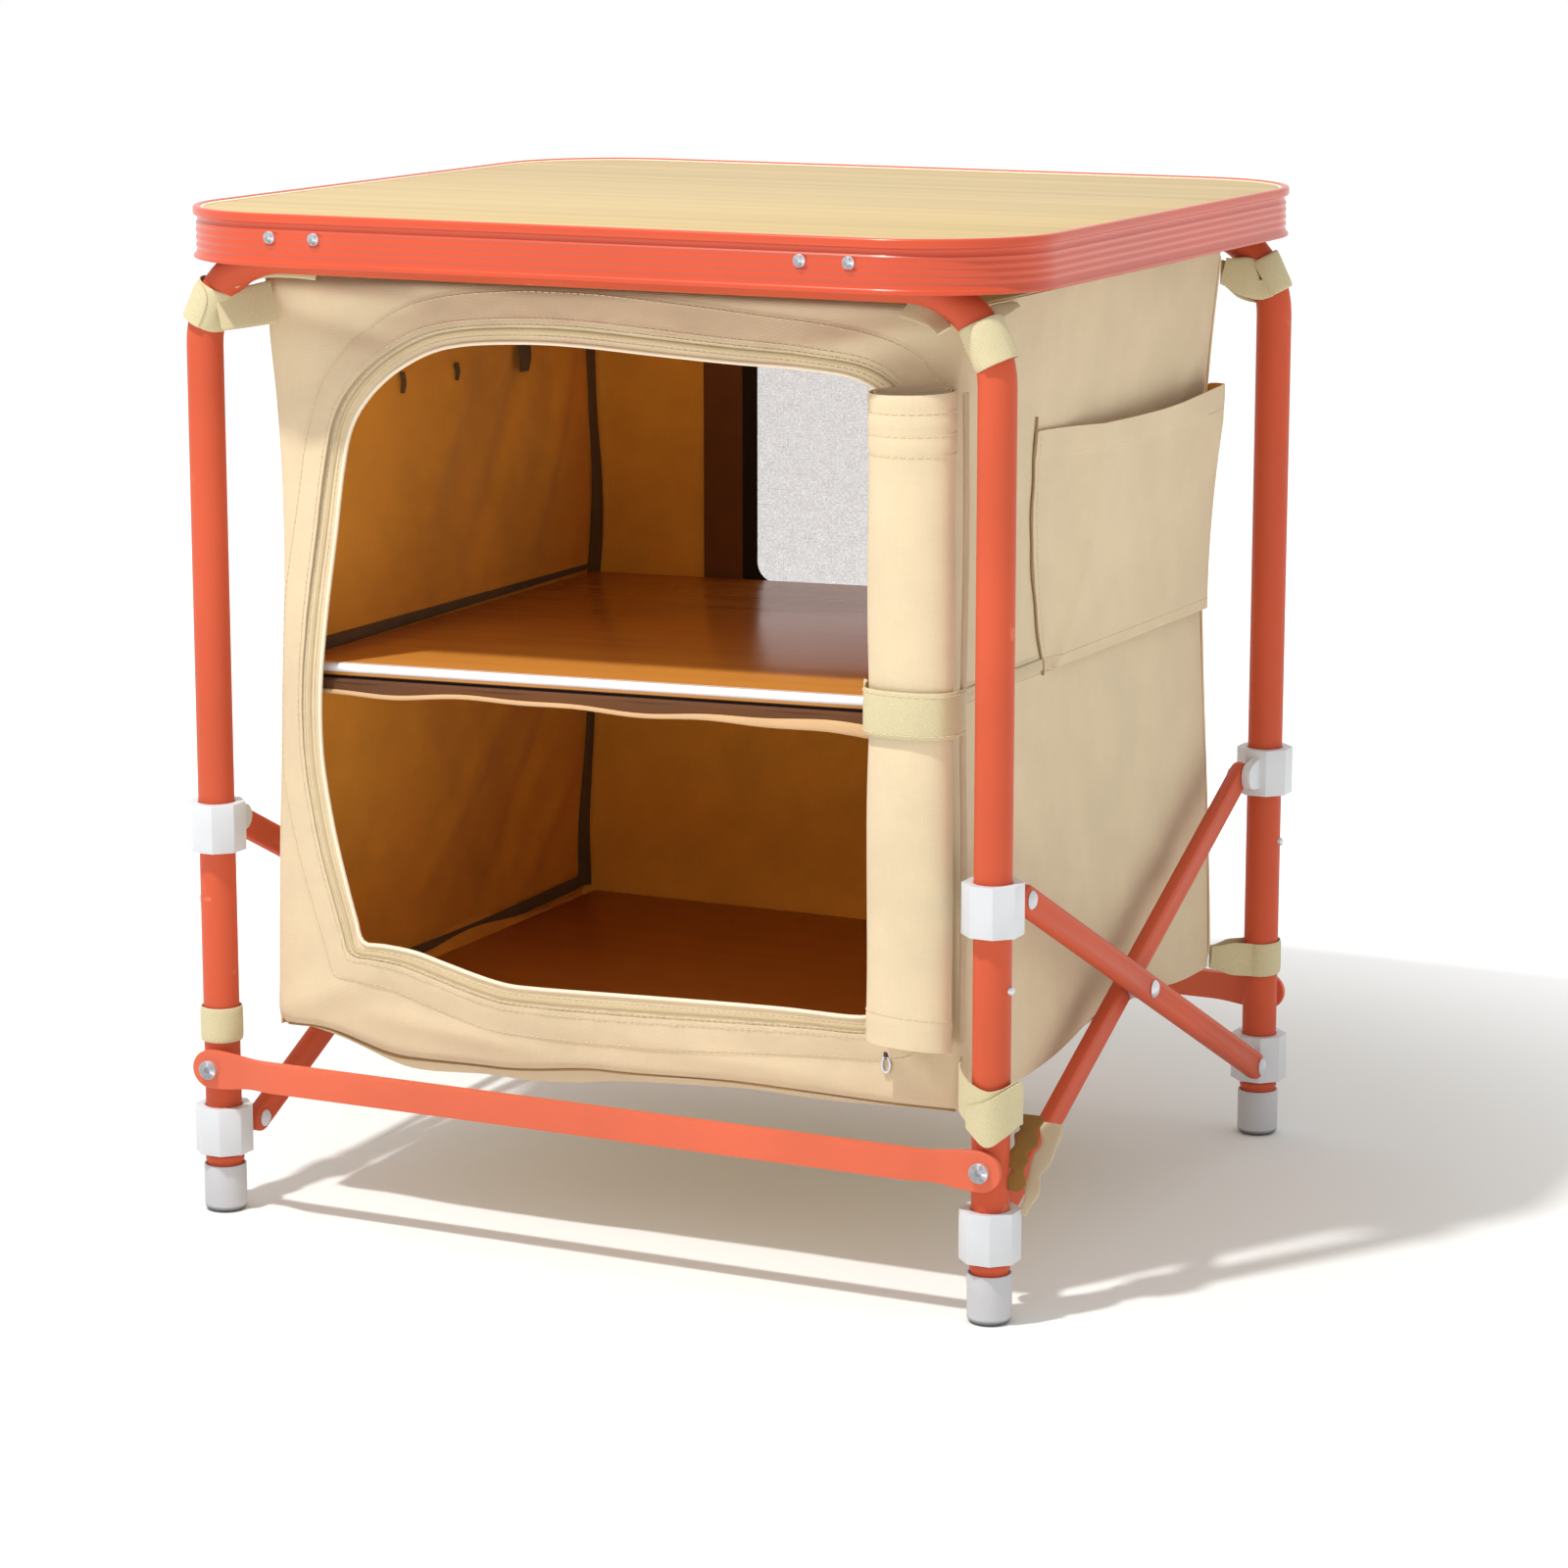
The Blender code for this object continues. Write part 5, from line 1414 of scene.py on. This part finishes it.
def pocket_out(share, high):
    """How far the pocket stands off the side: a pleat behind its front seam, and a wide mouth."""
    fold = 0.03 + 0.27 * min(1.0, high / 0.5) ** 0.7
    proud = 0.0030 + 0.0042 * high ** 1.2
    if share < fold:
        out = proud * (share / fold) ** 2.6 - 0.0006 * math.sin(math.pi * share / fold)
    else:
        on = (share - fold) / (1 - fold)
        out = proud + (0.0026 + 0.0062 * high ** 1.3) * on
        out -= 0.0014 * math.sin(math.pi * min(1.0, on * 2.2)) * high
    end = max(0.0, (share - 0.975) / 0.025)
    return max(0.0, out * (1 - end ** 3))


def pocket_place(u, v):
    top = POCKET_Z[1] - 0.005 * math.sin(math.pi * u) ** 1.2
    z = POCKET_Z[0] + (top - POCKET_Z[0]) * v
    low = pocket_front_y(z)
    y = low + (POCKET_Y[1] - low) * u
    base = half_width(z) + 0.0014
    out = pocket_out(u, v) + 0.0009 * math.sin(math.pi * u) * noise.noise(Vector((y * 18, z * 18, 9.0)))
    hem = 0.0005 * smoothstep((v - 0.895) / 0.008)
    return min(base + max(0.0, out) + hem, 0.2163), y, z


piece = shaped_grid(90, 60, pocket_place, (1, 0, 0), measure=measured(0.258, 0.13))
side_pocket = walled(piece, "side_pocket", wall=0.0010)[0]


def pocket_spot(u, v):
    here = Vector(pocket_place(u, v))
    to_back = Vector(pocket_place(min(1, u + 0.01), v)) - Vector(pocket_place(max(0, u - 0.01), v))
    to_top = Vector(pocket_place(u, min(1, v + 0.01))) - Vector(pocket_place(u, max(0, v - 0.01)))
    return here, to_back.cross(to_top).normalized()


rows = [*row_on(lambda share: pocket_spot(0.01 + 0.97 * share, 0.893), 0.27),
        *row_on(lambda share: pocket_spot(0.01 + 0.97 * share, 0.045), 0.27),
        *row_on(lambda share: pocket_spot(0.02, 0.03 + 0.95 * share), 0.13)]
pocket_stitches = trim(sewn(rows), "pocket_stitches", thread)

# A darker cord down the pocket's front seam: painted shade of the fold there
line = []
for index in range(40):
    z = 0.3155 + (0.4555 - 0.3155) * index / 39
    y = pocket_front_y(min(z, POCKET_Z[1])) - 0.0006 + 0.0006 * math.sin(index * 0.7)
    line.append(Vector((side_x(1, y, z) + 0.0010, y, z)))
pocket_front_shade_cord = trim(swept(line, (0, 1, 0), 0.0007, 0.0007, 8, 0.9), "pocket_front_seam_shade", seam_shade_cloth)


# Seam across each side at the shelf's height
SEAM_END = 0.17


def on_side(side, y, z, lift):
    return Vector((side_x(side, y, z) + side * lift, y, z))


seam_bands = []
for side, name in ((-1, "left"), (1, "right")):
    line = [on_side(side, 0.344 * index / 79 - 0.172, SIDE_SEAM_Z, 0.0003) for index in range(80)]
    made = swept(line, (0, 0, 1), 0.0032, 0.0006, 10, 0.5)
    seam_bands.append(trim(made, f"side_seam_{name}", canvas))
    rows = []
    for z in (SIDE_SEAM_Z - 0.0050, SIDE_SEAM_Z + 0.0050):
        rows += row_on(lambda share: (on_side(side, SEAM_END * (2 * share - 1), z, 0.0001),
                                      Vector((side, 0, 0))), 2 * SEAM_END)
    seam_bands.append(trim(sewn(rows), f"side_seam_stitches_{name}", thread))

# Shelf sling, with the hem that hangs under the rail; its drop is dark brown as painted shade
SLING_HALF = 0.1995


def sling_place(u, v):
    x = (2 * u - 1) * SLING_HALF
    wave = 0.0011 * math.sin(x * 37 + 1.0) + 0.0007 * math.sin(x * 83)
    drop = 0.0060 + wave + 0.0020 * smoothstep((x + 0.02) / 0.15)
    low = 0.3040 + shelf_lift(x)
    if v < 0.30:
        share = v / 0.30
        return x, -0.1768 + 0.0006 * math.sin(x * 70), low - drop * (1 - share)
    if v < 0.34:
        turn = (v - 0.30) / 0.04 * math.pi / 2
        return x, -0.1768 + 0.0012 * math.sin(turn), low + 0.0010 * (1 - math.cos(turn))
    share = (v - 0.34) / 0.66
    return x, -0.1756 + (0.174 + 0.1756) * share, low + 0.0010 - 0.0004 * math.sin(math.pi * share)


piece = shaped_grid(110, 70, sling_place, (0, -0.3, 1), measure=measured(0.4, 0.36))
shelf_sling = walled(piece, "shelf_sling", wall=0.0008, outside=sling_painted_shade, levels=0)[0]
line = [Vector(sling_place(index / 159, 0.0)) + Vector((0, -0.0002, 0.0004)) for index in range(160)]
piece = swept(line, (0, 0, 1), lambda share: 0.0013 + 0.0022 * smoothstep((share - 0.55) / 0.35),
              0.0009, 10, 0.7)
sling_hem = trim(piece, "shelf_sling_hem", sling_tape)

# Webbing at the legs
STRAP_THICK = 0.0008
LOOP_RADIUS = 0.0111
UPPER_TURN = math.radians(26)
TO_VIEWER = Vector((0.39, -0.90, 0.20))


def leg_loop(centre, axis, outward, half_wide, corner=None, tilt=0.0):
    """Webbing once round the leg, closed, or with both its ends at the bag's corner."""
    axis, outward = Vector(axis).normalized(), Vector(outward).normalized()
    sideways = axis.cross(outward)
    centre = Vector(centre)

    def spot(turn):
        around_leg = outward * math.cos(turn) + sideways * math.sin(turn)
        return centre + around_leg * LOOP_RADIUS + axis * (tilt * math.sin(turn))

    if corner is None:
        path = around([spot(math.radians(15 * step)) for step in range(24)], 72)
        return swept(path, axis, half_wide, STRAP_THICK, 16, 0.35, True)
    corner = Vector(corner)
    to_bag = corner - centre
    angle = math.atan2(to_bag.dot(sideways), to_bag.dot(outward))
    spots = [spot(angle + math.radians(38 + 284 * step / 18)) for step in range(19)]
    gap = (spots[0] - spots[-1]).normalized() * 0.0011
    spots = [corner + gap, corner.lerp(spots[0], 0.5) + gap * 0.7, *spots,
             corner.lerp(spots[-1], 0.5) - gap * 0.7, corner - gap]

    def half(share):
        return half_wide * (0.70 + 0.30 * smoothstep(min(share, 1 - share) / 0.14))

    return swept(through(spots, 72), axis, half, STRAP_THICK, 16, 0.35)


def band(points, half):
    """Webbing through points, with its flat side towards the viewer."""
    path = through(points, 48)

    def wide(share):
        index = min(int(share * 47), 46)
        return (path[index + 1] - path[index]).cross(TO_VIEWER)

    return swept(path, wide, half, 0.0007, 14, 0.35)


def tab(centre, axis, face, radius=0.0126, reach=0.72, low=-0.0112, high=0.0108):
    """The webbing's rounded end, lying on its loop."""
    axis, face = Vector(axis).normalized(), Vector(face)
    face = (face - axis * face.dot(axis)).normalized()
    sideways = axis.cross(face)

    def place(u, v):
        across = 2 * u - 1
        top = low + (high - low) * (0.5 + 0.5 * math.sqrt(max(0.0, 1 - abs(across) ** 2.2)))
        turn = across * reach
        here = centre + (face * math.cos(turn) + sideways * math.sin(turn)) * radius
        return here + axis * (low + (top - low) * v)

    return thickened(shaped_grid(24, 16, place, face), 0.0012)


def edged(spots, tops, lows):
    """Cloth that stands along spots in plan, between a line of tops and a line of lows."""
    tops = through([(*spot, top) for spot, top in zip(spots, tops)], 60)
    lows = through([(*spot, low) for spot, low in zip(spots, lows)], 60)

    def place(u, v):
        index = int(round(u * 59))
        return lows[index].lerp(tops[index], v)

    return thickened(shaped_grid(59, 12, place, (0, -1, 0)), 0.0009, 1)


TAILS = {
    "right": (
        ([(0.2075, -0.2085, 0.5130), (0.1970, -0.1975, 0.5190), (0.1790, -0.1868, 0.5245)],
         0.0040, 0.0095),
        ([(0.2300, -0.2035, 0.5180), (0.2255, -0.1870, 0.5205), (0.2195, -0.1560, 0.5205),
          (0.2120, -0.1260, 0.5190)], 0.0056, 0.0018),
    ),
    "left": (
        ([(-0.2180, -0.2095, 0.5040), (-0.2075, -0.1995, 0.5060), (-0.1965, -0.1868, 0.5085)],
         0.0106, 0.0118),
        ([(-0.2110, -0.2050, 0.5205), (-0.1985, -0.1955, 0.5255), (-0.1850, -0.1885, 0.5255),
          (-0.1700, -0.1868, 0.5245)], 0.0042, 0.0036),
    ),
}
KNOT = (
    (0.2108, -0.1860), (0.2160, -0.2005), (0.2250, -0.2092), (0.2358, -0.2124), (0.2424, -0.2080),
    (0.2455, -0.2000), (0.2450, -0.1935), (0.2430, -0.1885),
)
KNOT_TOP = (0.1355, 0.1335, 0.1290, 0.1262, 0.1272, 0.1290, 0.1278, 0.1260)
KNOT_LOW = (0.1140, 0.1110, 0.1065, 0.0975, 0.1018, 0.1060, 0.1055, 0.1052)


def strap_body(end, side, sx, sy, level):
    """One strap's pieces."""
    if level == "lower":
        centre = (sx * LEG_X, sy * LEG_Y, 0.1075)
        if (end, side) == ("front", "left"):
            return [leg_loop(centre, (0, 0, 1), (sx, 0, 0), 0.0098)]
        if (end, side) != ("front", "right"):
            corner = (sx * 0.2094, sy * 0.1790, 0.1085)
            return [leg_loop(centre, (0, 0, 1), (sx, 0, 0), 0.0098, corner, 0.0008)]
        over = [(x + 0.0016 * (x - LEG_X) / 0.012, y + 0.0016 * (y + LEG_Y) / 0.012)
                for x, y in KNOT[2:]]
        return [
            leg_loop((centre[0], centre[1], 0.1150), (0, 0, 1), (sx, 0, 0), 0.0085),
            edged(KNOT, KNOT_TOP, KNOT_LOW),
            edged(over, (0.1165, 0.1215, 0.1262, 0.1288, 0.1276, 0.1258),
                  (0.1050, 0.0972, 0.1015, 0.1058, 0.1052, 0.1050)),
        ]
    outward = Vector((sx * math.cos(UPPER_TURN), 0, math.sin(UPPER_TURN)))
    axis = Vector((-sx * math.sin(UPPER_TURN), 0, math.cos(UPPER_TURN)))
    centre = Vector((sx * (LEG_X - BEND_RADIUS), sy * LEG_Y, TOP_BAR_Z - BEND_RADIUS))
    centre = centre + outward * BEND_RADIUS
    if end == "rear":
        corner = (sx * 0.2078, sy * 0.1815, 0.5105)
        return [leg_loop(centre, axis, outward, 0.0112, corner, 0.0012)]
    face = TO_VIEWER if side == "right" else Vector((-0.45, -0.9, 0))
    pieces = [leg_loop(centre, axis, outward, 0.0116), tab(centre, axis, face)]
    for points, first, last in TAILS[side]:
        pieces.append(band(points, lambda share: first + (last - first) * share))
    return pieces


for end, sy, side, sx in CORNERS:
    for level in ("upper", "lower"):
        node = f"strap_{end}_{side}_{level}"
        piece = joined(strap_body(end, side, sx, sy, level))
        dress(piece, node + "_made", end + "_frame", "webbing", webbing, node)

# Loose end of the front right strap, crumpled beside the leg; its turned-back part is brown as painted
# shade
hanging = band([(0.2490, -0.1560, 0.0965), (0.2512, -0.1660, 0.0868), (0.2490, -0.1780, 0.0765),
                (0.2508, -0.1880, 0.0665), (0.2485, -0.1945, 0.0580)],
               lambda share: 0.0056 - 0.0030 * share + 0.0007 * math.sin(share * 19))
hanging.data.materials.append(canvas)
turned = band([(0.2460, -0.1790, 0.1065), (0.2482, -0.1870, 0.0980), (0.2462, -0.1950, 0.0890),
               (0.2476, -0.1985, 0.0800), (0.2458, -0.2000, 0.0715)],
              lambda share: 0.0064 - 0.0026 * share + 0.0012 * math.sin(share * 23))
turned.data.materials.append(strap_back_painted_shade)
dress(joined([hanging, turned]), "loose_strap_end", "front_frame", "webbing", canvas)

# Strap round the rolled door
ROLL_STRAP = (
    (0.1530, -0.1836), (0.1565, -0.1880), (0.1592, -0.1960), (0.1640, -0.2065), (0.1740, -0.2112),
    (0.1850, -0.2124), (0.1960, -0.2112), (0.2062, -0.2062), (0.2104, -0.1975), (0.2106, -0.1890),
    (0.2095, -0.1838),
)
ROLL_STRAP_HUB = Vector((ROLL_X, -0.186, 0))
strap_path = through([(*spot, ROLL_STRAP_Z) for spot in ROLL_STRAP], 90)
piece = swept(strap_path, (0, 0, 1), 0.0121, 0.0007, 16, 0.3)
dress(piece, "door_strap_made", "front_frame", "webbing", webbing, "door_strap")


def strap_spot(share, lift):
    """Point on the strap's face, lift metres above its middle line, and the way up there."""
    place = share * (len(strap_path) - 1)
    low = min(int(place), len(strap_path) - 2)
    here = strap_path[low].lerp(strap_path[low + 1], place - low) + Vector((0, 0, lift))
    up = Vector((here.x - ROLL_STRAP_HUB.x, here.y - ROLL_STRAP_HUB.y, 0)).normalized()
    return here + up * 0.0007, up


rows = [spot for lift in (-0.0102, 0.0102)
        for spot in row_on(lambda share: strap_spot(share, lift), 0.085)]
dress(sewn(rows), "door_strap_stitches", "front_frame", "webbing", thread)


# Stitch rows and piping of the rolled door
def roll_row(z):
    share = (z - ROLL_LOW) / (ROLL_HIGH - ROLL_LOW)

    def spot(part):
        u = 1 - 1 / ROLL_TURNS * (0.02 + 0.96 * part)
        here = Vector(roll_place(u, share))
        up = Vector((here.x - ROLL_X, (here.y - ROLL_Y) * 1.8, 0)).normalized()
        return here + up * 0.0002, up
    return row_on(spot, 0.12)


trim(sewn([*roll_row(0.4718), *roll_row(0.4602), *roll_row(0.4500), *roll_row(0.1580)]),
      "door_roll_stitches", thread)
line = through([(0.2094, -0.1842, 0.142), (0.2100, -0.1848, 0.24), (0.2088, -0.1846, 0.31),
                (0.2100, -0.1850, 0.40), (0.2092, -0.1846, 0.480)], 80)
trim(swept(line, (0.3, 1, 0), 0.0022, 0.0008, 10, 0.5), "door_roll_edge", canvas)

# Dark tape over the seams inside the bag
TAPE_Y = (-0.172, -0.09, 0.0, 0.08, 0.172)
FLOOR_TAPE_Y = (-0.17, -0.08, 0.0, 0.09, 0.174)


def seam_tape(points, way, half_wide, name):
    return trim(swept(through(points, 70), way, half_wide, 0.0006, 10, 0.5), name, binding)


def corner_spot(side, index):
    """Point on the bag's rear corner, where its tape sways a little."""
    z = 0.112 + (0.520 - 0.112) * index / 11
    sway = 0.0008 * math.sin(index * 1.7)
    return side * (half_width(z) - 0.0048 + sway), 0.1745 - sway, z


tapes = []
for side, name in ((-1, "left"), (1, "right")):
    shelf_level = 0.3172 + shelf_lift(side * 0.2)
    floor_line = [(side * 0.2062, y, 0.1140 + 0.0015 * math.sin(y * 40)) for y in FLOOR_TAPE_Y]
    tapes += [
        seam_tape([corner_spot(side, index) for index in range(12)], (-side, 1, 0),
                  lambda share: 0.0034 + 0.0008 * math.cos(share * 12.6), f"rear_corner_tape_{name}"),
        seam_tape([(side * 0.2000, y, shelf_level) for y in TAPE_Y], (0, 0, 1),
                  lambda share: 0.0042 - 0.0026 * share, f"shelf_edge_tape_{name}"),
        seam_tape(floor_line, (0, 0, 1),
                  lambda share: 0.0034 + 0.0006 * math.sin(share * 9), f"floor_edge_tape_{name}"),
    ]

# Small loops sewn under the roof at the left
LOOP_TOP_Z = 0.450
loop_x = 0.0026 - half_width(0.45)
hung = []
for y, wide, drop in ((-0.0476, 0.0026, 0.012), (0.0137, 0.0026, 0.010), (0.094, 0.0085, 0.016)):
    top = LOOP_TOP_Z + drop / 2
    line = through([(loop_x, y, top), (loop_x + 0.0012, y, top - drop * 0.5),
                    (loop_x + 0.0004, y, top - drop)], 14)
    hung.append(swept(line, (0, 1, 0), lambda share: wide * (1 - 0.35 * share), 0.0007, 12, 0.4))
tapes.append(trim(joined(hung), "roof_loops", binding))

FOLDING = (
    bag_back, bag_left, bag_right, bag_bottom, bag_top, window_net, black_edge, brown_tape,
    side_pocket, pocket_stitches, pocket_front_shade_cord, shelf_sling, sling_hem, *seam_bands, *tapes,
)
for cloth in FOLDING:
    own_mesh(cloth)

# Floor, light and camera
only()
bpy.ops.mesh.primitive_plane_add(size=16, location=(0, 0, -0.0002))
ground = bpy.context.object
ground.name = "ground"
floor_finish = Finish("pale_floor")
mottle = floor_finish.speckle(floor_finish.place("Object"), 3.0, 2.0)
ground.data.materials.append(floor_finish.end_in(
    Base_Color=floor_finish.blend(mottle, colour((246, 247, 245)), colour((249, 250, 247))),
    Roughness=0.9 + mottle * 0.05,
    Specular_IOR_Level=0.1,
    # Painted light: the floor glows more the farther it lies from the object, which pales the far part
    # of its shadow
    Emission_Color=floor_finish.blend(
        floor_finish.distance().between(0.34, 0.90), colour((0, 0, 0)), colour((180, 180, 182))),
    Emission_Strength=1.0,
))

# White to the lens and to mirrors, weaker as a light
AMBIENT = 0.66
world = bpy.data.worlds.new("white_surround")
bpy.context.scene.world = world
world.use_nodes = True
tree = world.node_tree
tree.nodes.clear()
seen = tree.nodes.new("ShaderNodeLightPath").outputs
direct = seen["Is Camera Ray"]
for ray in ("Is Glossy Ray", "Is Transmission Ray"):
    either = tree.nodes.new("ShaderNodeMath")
    either.operation = "MAXIMUM"
    tree.links.new(direct, either.inputs[0])
    tree.links.new(seen[ray], either.inputs[1])
    direct = either.outputs[0]
chosen = tree.nodes.new("ShaderNodeMixShader")
tree.links.new(direct, chosen.inputs[0])
for number, strength in ((1, AMBIENT), (2, 1.0)):
    white = tree.nodes.new("ShaderNodeBackground")
    white.inputs["Color"].default_value = (1, 1, 1, 1)
    white.inputs["Strength"].default_value = strength
    tree.links.new(white.outputs[0], chosen.inputs[number])
surround = tree.nodes.new("ShaderNodeOutputWorld")
tree.links.new(chosen.outputs[0], surround.inputs["Surface"])


def stood(name, data, location):
    made = bpy.data.objects.new(name, data)
    bpy.context.collection.objects.link(made)
    made.location = location
    return made


lamp = bpy.data.lights.new("lamp", "POINT")
lamp.energy = 180
lamp.shadow_soft_size = 0.055
stood("lamp", lamp, (-0.36, -1.165, 2.40))

lens = bpy.data.cameras.new("camera")
lens.sensor_width = 36
lens.lens = 106.99
lens.clip_start = 0.05
lens.clip_end = 60
camera = stood("camera", lens, (1.1467, -2.3262, 0.7558))
camera.rotation_euler = (math.radians(90 - 11.537), 0, math.radians(25.889))
bpy.context.scene.camera = camera
bpy.context.scene.view_settings.view_transform = "Standard"
